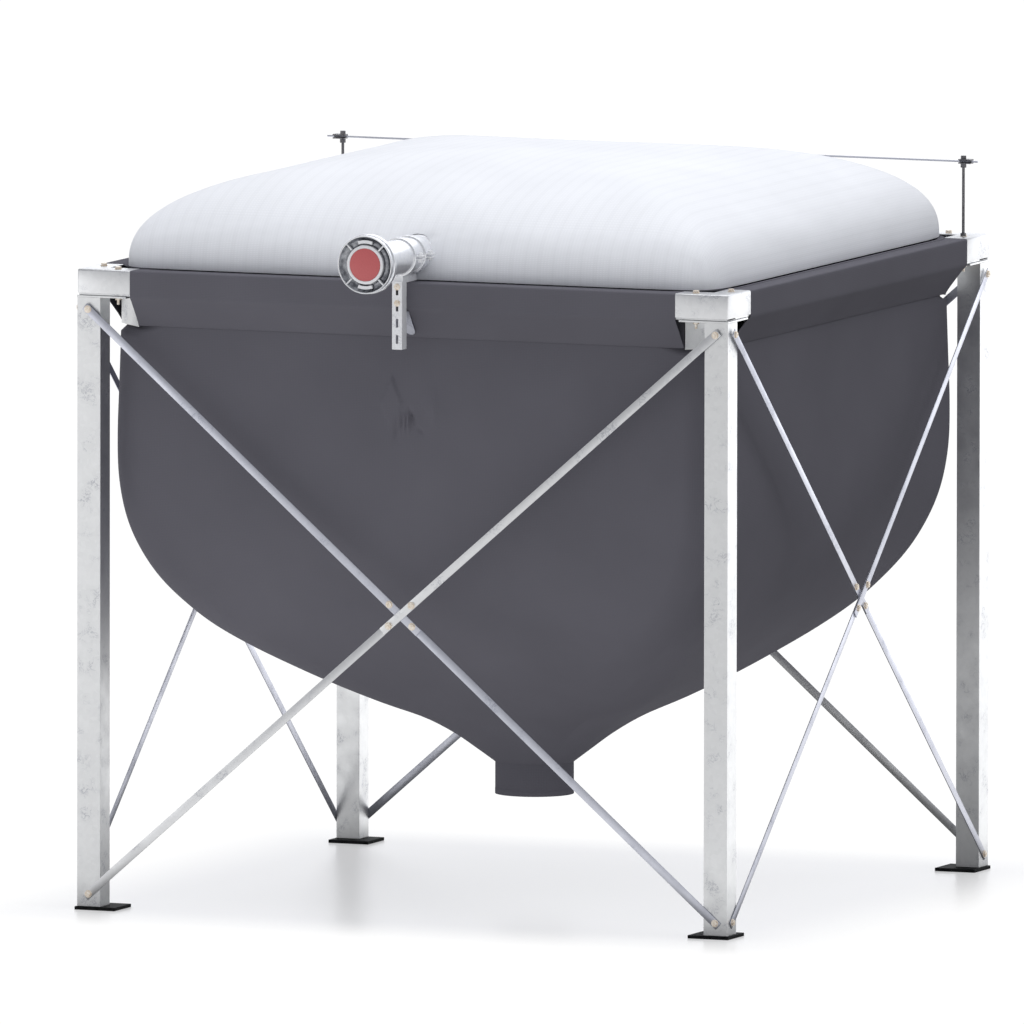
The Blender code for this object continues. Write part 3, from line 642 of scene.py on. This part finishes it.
def openForPipe(bm):
    # Cloth inside the pipe's circle goes, and the edge is drawn to the pipe
    level = capTop + roof["pipeHeight"]
    front = middleY - roof["half"] + roof["holeDepth"]
    inside = [
        v for v in bm.verts
        if v.co.y < front and math.hypot(v.co.x, v.co.z - level) < roof["pipeRadius"] - roof["holeSpare"]
    ]
    bmesh.ops.delete(bm, geom=inside, context="VERTS")
    for vert in bm.verts:
        away = Vector((vert.co.x, vert.co.z - level))
        near = vert.is_boundary and vert.co.y < front and away.length < roof["holeReach"]
        if near and vert.co.z > capTop + roof["holeAbove"]:
            away = away.normalized() * roof["pipeRadius"]
            vert.co.x, vert.co.z = away.x, level + away.y


def roofSheet():
    bm = bmesh.new()
    layer = bm.loops.layers.uv.new("clothMap")
    bmesh.ops.create_grid(bm, x_segments=2 * roof["cells"], y_segments=2 * roof["cells"], size=1)
    places = {}
    for vert in bm.verts:
        point, share = roofPoint(vert.co.x, vert.co.y)
        wide = Vector((point.x * roof["billowWaves"], point.y * roof["billowWaves"], roof["billowSeed"]))
        wave = noise.noise(wide) + roof["fineShare"] * noise.noise(point * roof["fineWaves"])
        point.z += roof["billow"] * wave * (1 - between(share, *roof["billowFade"]))
        drop = (roof["height"] - point.z) * roof["flankStretch"]
        places[vert.index] = (onRoofMap(point.x, drop), onRoofMap(point.y, drop))
        vert.co = point + Vector((0, middleY, capTop + roof["lift"]))
    bm.verts.ensure_lookup_table()
    for bmFace in bm.faces:
        for loop in bmFace.loops:
            loop[layer].uv = places[loop.vert.index]
    openForPipe(bm)
    area = sum(bmFace.calc_area() for bmFace in bm.faces)
    bm.normal_update()
    bmesh.ops.solidify(bm, geom=bm.faces[:], thickness=roof["thickness"])
    piece = finishPiece("roofCloth", bm, "whiteWovenCloth", 60, "roof")
    return area


print("roof made, area", round(roofSheet(), 3))

# Bolts, in millimetres. Nut, washer and stem are radii, and stemOut is how far the thread's end stands
# above what the washer lies on
boltSizes = {
    "brace": {"nut": 9.6, "nutHeight": 4.6, "washer": 11.6, "washerHeight": 1.1, "stem": 4.2, "stemOut": 6.9},
    "cap": {"nut": 10.0, "nutHeight": 7.0, "washer": 11.5, "washerHeight": 1.2, "stem": 4.6, "stemOut": 22},
    "ear": {"nut": 8.2, "nutHeight": 5.6, "washer": 9.2, "washerHeight": 1.1, "stem": 3.6, "stemOut": 9.0},
    "strut": {"nut": 7.8, "nutHeight": 4.5, "washer": 10.2, "washerHeight": 1.2, "stem": 3.4, "stemOut": 8.0},
}
boltEdges = {"washer": 0.4 * mm, "nut": 0.7 * mm, "stem": 0.6 * mm}


def addBolt(bm, kind, place, outward, turn, headOnly=False):
    # Washer, hex nut with turned-down corners, and the end of the thread
    size = {part: length * mm for part, length in boltSizes[kind].items()}
    rest = outward.to_track_quat("Z", "Y").to_matrix().to_4x4()
    at = Matrix.Translation(place) @ rest @ Matrix.Rotation(turn, 4, "Z")
    bmesh.ops.create_cone(
        bm, cap_ends=True, segments=20, radius1=size["washer"], radius2=size["washer"] - boltEdges["washer"],
        depth=size["washerHeight"], matrix=at @ Matrix.Translation((0, 0, size["washerHeight"] / 2)),
    )
    nutMiddle = size["washerHeight"] + size["nutHeight"] / 2
    nut = bmesh.ops.create_cone(
        bm, cap_ends=True, segments=6, radius1=size["nut"], radius2=size["nut"], depth=size["nutHeight"],
        matrix=at @ Matrix.Translation((0, 0, nutMiddle)),
    )
    roundEdges(bm, edgesOf(nut), boltEdges["nut"], 1)
    if not headOnly:
        bmesh.ops.create_cone(
            bm, cap_ends=True, segments=14, radius1=size["stem"], radius2=size["stem"] - boltEdges["stem"],
            depth=size["stemOut"], matrix=at @ Matrix.Translation((0, 0, size["stemOut"] / 2)),
        )


# Braces: each diagonal is two flat bars that lap where it crosses the other one
brace = {
    "width": 0.025, "thick": 3 * mm, "spare": 0.1 * mm, "edge": 0.7 * mm, "inset": 0.0375, "foot": 0.0485,
    "top": -0.1193, "gap": 0.3 * mm, "topOut": 6.3 * mm, "endReach": 0.014, "innerReach": 0.0865,
    "outerReach": 0.0765, "lapBolt": 0.0485, "boltTurn": 0.4, "paleOn": ("front", "back"),
}


def addBar(bm, start, end):
    # A flat bar from start to end, its broad side to the front
    along = (end - start).normalized()
    across = along.cross(Vector((0, -1, 0))).normalized()
    out = across.cross(along)
    place = Matrix.Translation((start + end) / 2) @ Matrix((along, across, out)).transposed().to_4x4()
    size = ((end - start).length, brace["width"], brace["thick"] - brace["spare"])
    addBlock(bm, place, size, brace["edge"])


def addDiagonal(face, lean, side, bolts):
    # The bar from the foot lies against the post, the one from the top lies on it and on the other diagonal
    run = 2 * (halfSide - brace["inset"])
    rise = capTop + brace["top"] - brace["foot"]
    length = math.hypot(run, rise)
    middle, thick, gap, endReach = length / 2, brace["thick"], brace["gap"], brace["endReach"]
    along = Vector((side * run, 0, rise)).normalized()
    start = Vector((-side * run / 2, -halfSide, brace["foot"]))
    crossing = gap if side < 0 else 2 * gap + 2 * thick

    def spot(distance, out):
        return start + along * distance + Vector((0, -out, 0))

    inner = (gap + thick / 2, crossing + thick / 2)
    outer = (crossing + 1.5 * thick, brace["topOut"] + thick / 2)
    innerEnd = inner[0] - (inner[1] - inner[0]) / middle * endReach
    outerEnd = outer[1] + (outer[1] - outer[0]) / middle * endReach
    bm = bmesh.new()
    addBar(bm, spot(-endReach, innerEnd), spot(middle + brace["innerReach"], inner[1]))
    addBar(bm, spot(middle - brace["outerReach"], outer[0]), spot(length + endReach, outerEnd))
    bmesh.ops.transform(bm, matrix=faceMatrix(face), verts=bm.verts)
    pale = lean == "rising" and face in brace["paleOn"]
    finish = "paleGalvanisedSteel" if pale else "greyAndShadedGalvanisedSteel"
    kind = face + "_" + lean
    finishPiece("flatBrace_" + kind, bm, finish, 30, "brace_" + kind)
    lapTop = crossing + 2 * thick
    for distance, out in (
        (0, gap + thick), (length, brace["topOut"] + thick),
        (middle - brace["lapBolt"], lapTop), (middle + brace["lapBolt"], lapTop),
    ):
        addBolt(bolts, "brace", spot(distance, out), Vector((0, -1, 0)), brace["boltTurn"] + distance)


for face in faceTurns:
    bolts = bmesh.new()
    for lean, side in (("falling", -1), ("rising", 1)):
        addDiagonal(face, lean, side, bolts)
    bmesh.ops.transform(bolts, matrix=faceMatrix(face), verts=bolts.verts)
    finishPiece("braceBolts_" + face, bolts, "zincPlatedSteel", 30)
print("braces made")

# Corner caps: folded plate with rounded folds, open towards the middle, bolted through both its arms
cap = {
    "width": 0.075, "wall": 4 * mm, "fold": 5.5 * mm, "edge": 0.8 * mm, "boltNear": 0.0375, "boltFar": 0.1175,
    "boltLift": 0.1 * mm, "underside": 0.0847, "boltTurns": (9, 5),
}


def cornerCap(corner, sides):
    low, high = (Vector(p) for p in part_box("corner_cap_" + corner))
    armX, armY, flange = high.x - low.x, high.y - low.y, high.z - low.z
    width = cap["width"]
    bm = bmesh.new()
    outline = ((0, 0), (armX, 0), (armX, width), (width, width), (width, armY), (0, armY))
    verts = [bm.verts.new((u, v, capTop)) for u, v in outline]
    bm.faces.new(verts)
    outer = [bm.edges.get((verts[0], verts[1])), bm.edges.get((verts[5], verts[0]))]
    made = bmesh.ops.extrude_edge_only(bm, edges=outer)["geom"]
    lower = [v for v in made if isinstance(v, bmesh.types.BMVert)]
    bmesh.ops.translate(bm, verts=lower, vec=(0, 0, -flange))
    folds = [e for e in bm.edges if len(e.link_faces) == 2]
    roundEdges(bm, folds, cap["fold"], 4)
    moveToCorner(bm, sides)
    if sum(face.normal.z * face.calc_area() for face in bm.faces) < 0:
        bmesh.ops.reverse_faces(bm, faces=bm.faces)
    piece = finishPiece(
        "foldedCap_" + corner, bm, "paleGalvanisedSteel", 50, "corner_cap_" + corner,
    )
    addModifier(piece, "SOLIDIFY", thickness=cap["wall"], offset=-1)
    addModifier(
        piece, "BEVEL", width=cap["edge"], segments=2, limit_method="ANGLE", angle_limit=math.radians(60),
    )


def capBolts(corner, sides):
    bolts = bmesh.new()
    aboveTurn, belowTurn = cap["boltTurns"]
    for u, v in ((cap["boltNear"], cap["boltFar"]), (cap["boltFar"], cap["boltNear"])):
        x, y = sides[0] * (halfSide - u), middleY + sides[1] * (halfSide - v)
        above = Vector((x, y, capTop + cap["boltLift"]))
        below = Vector((x, y, capTop - cap["underside"]))
        addBolt(bolts, "cap", above, Vector((0, 0, 1)), u * aboveTurn, headOnly=True)
        addBolt(bolts, "cap", below, Vector((0, 0, -1)), v * belowTurn)
    finishPiece("capBolts_" + corner, bolts, "zincPlatedSteel", 30)


for corner, sides in cornerSides.items():
    cornerCap(corner, sides)
    capBolts(corner, sides)
print("caps made")

# Filler pipe and its coupling, turned parts
coupling = {"height": 0.078, "aside": 0.003, "front": 0.298, "steps": 96}
pipeAxis = Vector((coupling["aside"], middleY - halfSide, capTop + coupling["height"]))


def layAlongPipe(bm):
    # What is turned about Z comes to lie on the pipe's axis, with +Z to the front
    place = Matrix.Translation(pipeAxis) @ Matrix.Rotation(math.pi / 2, 4, "X")
    bmesh.ops.transform(bm, matrix=place, verts=bm.verts)


def turned(profile):
    # Turns (radius, distance forward) points round the pipe's axis. Off the axis they are a closed ring
    bm = bmesh.new()
    verts = [bm.verts.new((r, 0, w)) for r, w in profile]
    edges = [bm.edges.new(pair) for pair in zip(verts, verts[1:])]
    if profile[0][0] > 0:
        edges.append(bm.edges.new((verts[-1], verts[0])))
    bmesh.ops.spin(
        bm, geom=verts + edges, cent=(0, 0, 0), axis=(0, 0, 1), angle=math.tau, steps=coupling["steps"],
        use_merge=True,
    )
    bmesh.ops.remove_doubles(bm, verts=bm.verts, dist=1e-6)
    bmesh.ops.recalc_face_normals(bm, faces=bm.faces)
    layAlongPipe(bm)
    return bm


def couplingPiece(name, finish, node, points):
    # Points are (radius, distance behind the coupling's front)
    profile = [(radius, coupling["front"] - depth) for radius, depth in points]
    finishPiece(name, turned(profile), finish, 28, node)


capPoints = (
    (0, 0.0215), (0.0845, 0.0215), (0.0862, 0.0195), (0.0872, 0.0165), (0.0872, 0.0030), (0.0866, 0.0016),
    (0.0856, 0.0010), (0.0842, 0.0012), (0.0832, 0.0026), (0.0828, 0.0050), (0.0800, 0.0200), (0, 0.0200),
)
dishPoints = (
    (0.0827, 0.0052), (0.0785, 0.0110), (0.0735, 0.0150), (0.0680, 0.0162), (0.0625, 0.0155),
    (0.0600, 0.0120), (0.0600, 0.0195), (0.0810, 0.0195),
)
hubPoints = (
    (0.0584, 0.0195), (0.0584, 0.0055), (0.0576, 0.0039), (0.0560, 0.0034), (0.0502, 0.0034),
    (0.0493, 0.0041), (0.0493, 0.0195),
)
discPoints = (
    (0, 0.0190), (0.0488, 0.0190), (0.0488, 0.0040), (0.0483, 0.0033), (0.0475, 0.0030), (0, 0.0030),
)
ringPoints = (
    (0.0525, 0.0503), (0.0590, 0.0503), (0.0605, 0.0488), (0.0830, 0.0443), (0.0878, 0.0423),
    (0.0893, 0.0398), (0.0893, 0.0250), (0.0883, 0.0235), (0.0525, 0.0223),
)
couplingPiece("couplingCap", "polishedAluminium", "coupling_cap", capPoints)
couplingPiece("couplingDish", "castAluminium", "coupling_cap", dishPoints)
# The hub and the webs take the whiter zinc flake finish, which is painted light
couplingPiece("couplingHub", "zincFlakeWithPaintedLight", "coupling_cap", hubPoints)
couplingPiece("redDisc", "redMouldedPlastic", "cap_disc", discPoints)

# Four webs across the dish, and two raised grips at its top and bottom
web = {
    "turns": (45, 135, 225, 315), "size": (0.0225, 0.0042, 0.0095), "radius": 0.0718, "depth": 0.0085,
    "edge": 0.8 * mm,
}
grip = {
    "turns": (90, 270), "halfAngle": 19, "steps": 14,
    "section": ((0.0640, 0.0128), (0.0735, 0.0128), (0.0735, 0.0052), (0.0640, 0.0052)),
}


def couplingWebs():
    bm = bmesh.new()
    front = coupling["front"]
    for degrees in web["turns"]:
        turn = Matrix.Rotation(math.radians(degrees), 4, "Z")
        place = turn @ Matrix.Translation((web["radius"], 0, front - web["depth"]))
        addBlock(bm, place, web["size"], web["edge"])
    for degrees in grip["turns"]:
        a = math.radians(degrees - grip["halfAngle"])
        corners = [(r * math.cos(a), r * math.sin(a), front - depth) for r, depth in grip["section"]]
        plate = bm.faces.new([bm.verts.new(corner) for corner in corners])
        bmesh.ops.spin(
            bm, geom=[plate], cent=(0, 0, 0), axis=(0, 0, 1), angle=math.radians(2 * grip["halfAngle"]),
            steps=grip["steps"], use_duplicate=False,
        )
    bmesh.ops.recalc_face_normals(bm, faces=bm.faces)
    layAlongPipe(bm)
    finishPiece("couplingWebs", bm, "zincFlakeWithPaintedLight", 28)


couplingWebs()
couplingPiece("couplingRing", "polishedAluminium", "coupling_ring", ringPoints)

# The pipe with its rolled beads, as (radius, distance forward of the frame). It ends inside the roof
pipe = {
    "rear": ((0.0520, -0.2398), (0.0536, -0.2398), (0.0540, -0.2390)),
    "beads": (-0.112, -0.043, 0.030),
    "bead": ((0.0540, -0.0030), (0.0527, -0.0018), (0.0522, 0.0), (0.0527, 0.0018), (0.0540, 0.0030)),
    "front": ((0.0540, 0.2467), (0.0520, 0.2467)),
}
beadPoints = [(radius, bead + forward) for bead in pipe["beads"] for radius, forward in pipe["bead"]]
finishPiece(
    "fillerTube", turned([*pipe["rear"], *beadPoints, *pipe["front"]]), "polishedAluminium", 28,
    "filler_pipe",
)

# Split clamps with bolted ears on the right
clamp = {
    "width": 0.034, "inner": 0.0543, "thick": 3.9 * mm, "edge": 0.0008, "earReach": 0.021, "earIn": 0.002,
    "earWidth": 0.024, "earHeight": 5.6 * mm, "earGap": 3.6 * mm, "earEdge": 1.0 * mm, "boltReach": 0.0085,
    "boltTurns": (0.2, 0.5),
}


def pipeClamp(name):
    low, high = (Vector(p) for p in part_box("pipe_clamp_" + name))
    forward = pipeAxis.y - (low.y + high.y) / 2
    inner, outer, edge = clamp["inner"], clamp["inner"] + clamp["thick"], clamp["edge"]
    rear, front = forward - clamp["width"] / 2, forward + clamp["width"] / 2
    band = turned((
        (inner, rear), (outer - edge, rear), (outer, rear + edge),
        (outer, front - edge), (outer - edge, front), (inner, front),
    ))
    finishPiece("splitClamp_" + name, band, "polishedAluminium", 28, "pipe_clamp_" + name)
    centre = pipeAxis + Vector((0, -forward, 0))
    ears = bmesh.new()
    size = (clamp["earReach"], clamp["earWidth"], clamp["earHeight"])
    for side in (-1, 1):
        level = side * (clamp["earGap"] + clamp["earHeight"]) / 2
        place = centre + Vector((outer - clamp["earIn"] + clamp["earReach"] / 2, 0, level))
        addBlock(ears, Matrix.Translation(place), size, clamp["earEdge"])
    reach = outer + clamp["boltReach"]
    top = clamp["earGap"] / 2 + clamp["earHeight"]
    upper, lower = centre + Vector((reach, 0, top)), centre + Vector((reach, 0, -top))
    addBolt(ears, "ear", upper, Vector((0, 0, 1)), clamp["boltTurns"][0])
    addBolt(ears, "ear", lower, Vector((0, 0, -1)), clamp["boltTurns"][1], headOnly=True)
    # The ears and their bolts take the whiter zinc flake finish, which is painted highlight
    finishPiece("clampEars_" + name, ears, "zincFlakeWithPaintedLight", 30)


for name in ("front", "rear"):
    pipeClamp(name)

# Two bolts with washers hold the strut
strut = {"front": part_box("slotted_strut")[0][1], "boltHeights": (-0.0110, -0.0600), "boltTurn": 30}
bolts = bmesh.new()
for height in strut["boltHeights"]:
    place = Vector((0, strut["front"], capTop + height))
    addBolt(bolts, "strut", place, Vector((0, -1, 0)), height * strut["boltTurn"])
finishPiece("strutBolts", bolts, "zincPlatedSteel", 30)
print("filler pipe made")

# The frame's own parts keep their shape, and get their metal and small edge radii
keptFinishes = {
    "post": ("galvanisedSteel", 1.6 * mm), "top_beam": ("galvanisedSteel", 1.2 * mm),
    # The strut and the saddle take the whiter zinc flake finish, which is painted light
    "foot_plate": ("millScaleSteel", 1.0 * mm), "slotted_strut": ("zincFlakeWithPaintedLight", 0.6 * mm),
    # The strut tongue is darker as painted shade, for the shade of the pocket over it
    "strut_tongue": ("greyAndShadedGalvanisedSteel", 0.8 * mm), "pipe_saddle": ("zincFlakeWithPaintedLight", 0.8 * mm),
    "bar_holder": ("threadedRodSteel", 0.0), "roof_bar": ("greyAndShadedGalvanisedSteel", 0.0),
}
for nodeName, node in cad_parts.items():
    for start, (finish, edge) in keptFinishes.items():
        if nodeName.startswith(start) and not node.hide_render:
            node.data.materials.clear()
            node.data.materials.append(finishes[finish])
            if edge:
                addModifier(node, "WELD", merge_threshold=0.01 * mm)
                addModifier(
                    node, "BEVEL", width=edge, segments=2, limit_method="ANGLE", angle_limit=math.radians(50),
                )
print("kept parts finished")

# Pale glossy floor under the silo. Round it the floor glows white, so that no edge of it shows. What the
# metal mirrors in it is greyer in front and brighter behind, and darkened under the silo by a painted
# shadow. Its glow on the cloth falls off to the right
floorLook = {
    "cloth": "dedee0", "roughness": 0.28, "size": 120.0, "white": 1.04,
    "under": 0.33, "fade": (0.95, 1.55), "cornerFade": 0.3,
    "mirroredPaintedShadow": 0.08, "mirroredFade": (1.05, 1.60), "mirrored": ((-2.2, 0.93), (-1.4, 1.32)),
    "viewTurn": 22.2, "onCloth": ((0.6, 1.08), (2.4, 0.22)),
}


def floorGlow(tree, place):
    # White to the camera. The rest is what the metal mirrors and what lights the cloth
    centred = addNode(tree, "VectorMath", {"operation": "SUBTRACT", 1: (0, middleY, 0)}, {0: place})
    size = addNode(tree, "VectorMath", {"operation": "ABSOLUTE"}, {0: centred})
    sides = addNode(tree, "SeparateXYZ", {}, {0: size})
    reach = addNode(
        tree, "Math", {"operation": "SMOOTH_MAX", 2: floorLook["cornerFade"]},
        {0: sides.outputs["X"], 1: sides.outputs["Y"]},
    )
    faded, shaded = [
        addNode(
            tree, "MapRange",
            {"interpolation_type": "SMOOTHSTEP", "From Min": floorLook[fade][0],
             "From Max": floorLook[fade][1], "To Min": floorLook[under], "To Max": 1.0},
            {"Value": reach},
        )
        for fade, under in (("fade", "under"), ("mirroredFade", "mirroredPaintedShadow"))
    ]
    turn = math.radians(floorLook["viewTurn"])
    away = addNode(
        tree, "VectorMath", {"operation": "DOT_PRODUCT", 1: (math.sin(turn), math.cos(turn), 0)}, {0: place},
    )
    aside = addNode(tree, "SeparateXYZ", {}, {0: place})
    mirrored, onCloth = [
        addNode(
            tree, "MapRange",
            {"From Min": floorLook[glow][0][0], "From Max": floorLook[glow][1][0],
             "To Min": floorLook[glow][0][1], "To Max": floorLook[glow][1][1]},
            {"Value": distance},
        )
        for glow, distance in (("mirrored", away.outputs["Value"]), ("onCloth", aside.outputs["X"]))
    ]
    # What the metal mirrors is darkened under the silo by the painted shadow
    inMetal = addNode(tree, "Math", {"operation": "MULTIPLY"}, {0: mirrored, 1: shaded})
    seen = addNode(tree, "LightPath", {})
    given = addNode(
        tree, "MapRange", {}, {"Value": seen.outputs["Is Glossy Ray"], "To Min": onCloth, "To Max": inMetal},
    )
    strength = addNode(
        tree, "MapRange", {"To Max": floorLook["white"]},
        {"Value": seen.outputs["Is Camera Ray"], "To Min": given},
    )
    glow = addNode(tree, "Emission", {}, {"Strength": strength})
    share = addNode(tree, "Math", {"operation": "MAXIMUM"}, {0: faded, 1: seen.outputs["Is Glossy Ray"]})
    return share, glow


def studioFloor():
    bm = bmesh.new()
    bmesh.ops.create_grid(bm, x_segments=1, y_segments=1, size=floorLook["size"])
    material, tree, shader = startMaterial("paleStudioFloor")
    setNode(
        tree, shader, {"Base Color": linearColor(floorLook["cloth"]), "Roughness": floorLook["roughness"]},
    )
    share, glow = floorGlow(tree, addNode(tree, "TexCoord", {}).outputs["Object"])
    mix = addNode(tree, "MixShader", {}, {0: share, 1: shader, 2: glow})
    setNode(tree, tree.nodes["Material Output"], {}, {"Surface": mix})
    meshObject("studioFloor", bm, material)


studioFloor()

# Soft studio light: even grey surroundings, a large soft box above, and one high on the right that lights
# the cloth alone. The metal alone mirrors the two others, at the front left and the back right
lights = {
    "above": {
        "place": (0.0, 0.1, 6.2), "aim": (0, 0.1, 0), "size": (4.6, 4.6), "watts": 98,
        "onCloth": True, "inMetal": True,
    },
    "frontLeft": {
        "place": (-2.98, -3.0, 1.02), "aim": (-2.2, 1.1, 1.02), "size": (1.45, 2.0), "watts": 8,
        "onCloth": False, "inMetal": True,
    },
    "right": {
        "place": (6.0, -1.2, 7.2), "aim": (0.6, 0, 1.9), "size": (3.4, 3.4), "watts": 112,
        "onCloth": True, "inMetal": False,
    },
    "backRight": {
        "place": (3.6, 8.2, 1.9), "aim": (0.4, 0.4, 1.2), "size": (4.0, 3.4), "watts": 28,
        "onCloth": False, "inMetal": True,
    },
}


def studioLamp(name, look):
    light = bpy.data.lights.new(name, "AREA")
    light.shape = "RECTANGLE"
    light.size, light.size_y = look["size"]
    light.energy = look["watts"]
    lamp = addObject(name, light)
    lamp.visible_diffuse, lamp.visible_glossy = look["onCloth"], look["inMetal"]
    lamp.visible_camera = False
    lamp.location = look["place"]
    lamp.rotation_euler = (Vector(look["aim"]) - lamp.location).to_track_quat("-Z", "Y").to_euler()


for name, look in lights.items():
    studioLamp(name, look)

# The surroundings are white to the camera and grey to the silo. What the metal mirrors of them is a
# little darker, and brighter straight behind
surround = {
    "grey": "b0b1b4", "strength": 1.22, "lessInMetal": 0.22, "behind": 1.15, "behindFrom": 0.66,
    "behindTo": 0.92,
}


def studioWorld():
    world = bpy.data.worlds.new("softStudio")
    bpy.context.scene.world = world
    world.use_nodes = True
    tree = world.node_tree
    tree.nodes.clear()
    grey = linearColor(surround["grey"])
    toward = addNode(tree, "TexCoord", {}).outputs["Generated"]
    alongY = addNode(tree, "VectorMath", {"operation": "DOT_PRODUCT", 1: (0, 1, 0)}, {0: toward})
    seen = addNode(tree, "LightPath", {})
    behindGlow = addNode(
        tree, "MapRange",
        {"interpolation_type": "SMOOTHSTEP", "From Min": surround["behindFrom"],
         "From Max": surround["behindTo"], "To Min": -surround["lessInMetal"],
         "To Max": surround["behind"] / grey[0]},
        {"Value": alongY.outputs["Value"]},
    )
    lift = addNode(
        tree, "Math", {"operation": "MULTIPLY_ADD", 2: surround["strength"]},
        {0: behindGlow, 1: seen.outputs["Is Glossy Ray"]},
    )
    dim = addNode(tree, "Background", {"Color": grey}, {"Strength": lift})
    white = addNode(tree, "Background", {"Color": (1, 1, 1, 1), "Strength": floorLook["white"]})
    both = addNode(tree, "MixShader", {}, {0: seen.outputs["Is Camera Ray"], 1: dim, 2: white})
    addNode(tree, "OutputWorld", {}, {"Surface": both})
    bpy.context.scene.view_settings.view_transform = "Standard"


studioWorld()

# A very long lens from far away, because the photograph has almost no perspective
shot = {
    "turn": 22.33, "rise": 5.87, "roll": 0.085, "lens": 1596.6, "sensor": 36, "distance": 136.5,
    "clip": (20, 400), "aim": (-0.069, 0.2105), "pivot": (0, middleY, capTop - 1.0),
}


def studioCamera():
    camera = addObject("studioCamera", bpy.data.cameras.new("studioCamera"))
    bpy.context.scene.camera = camera
    camera.data.sensor_width = shot["sensor"]
    camera.data.lens = shot["lens"]
    camera.data.clip_start, camera.data.clip_end = shot["clip"]
    turn = Matrix.Rotation(math.radians(shot["turn"]), 3, "Z")
    facing = turn @ Matrix.Rotation(math.radians(90 - shot["rise"]), 3, "X")
    right, up, behind = facing.col[0], facing.col[1], facing.col[2]
    aim = Vector(shot["pivot"]) + right * shot["aim"][0] + up * shot["aim"][1]
    camera.location = aim + behind * shot["distance"]
    camera.rotation_euler = (facing @ Matrix.Rotation(math.radians(shot["roll"]), 3, "Z")).to_euler()


studioCamera()
print("camera and lights set")
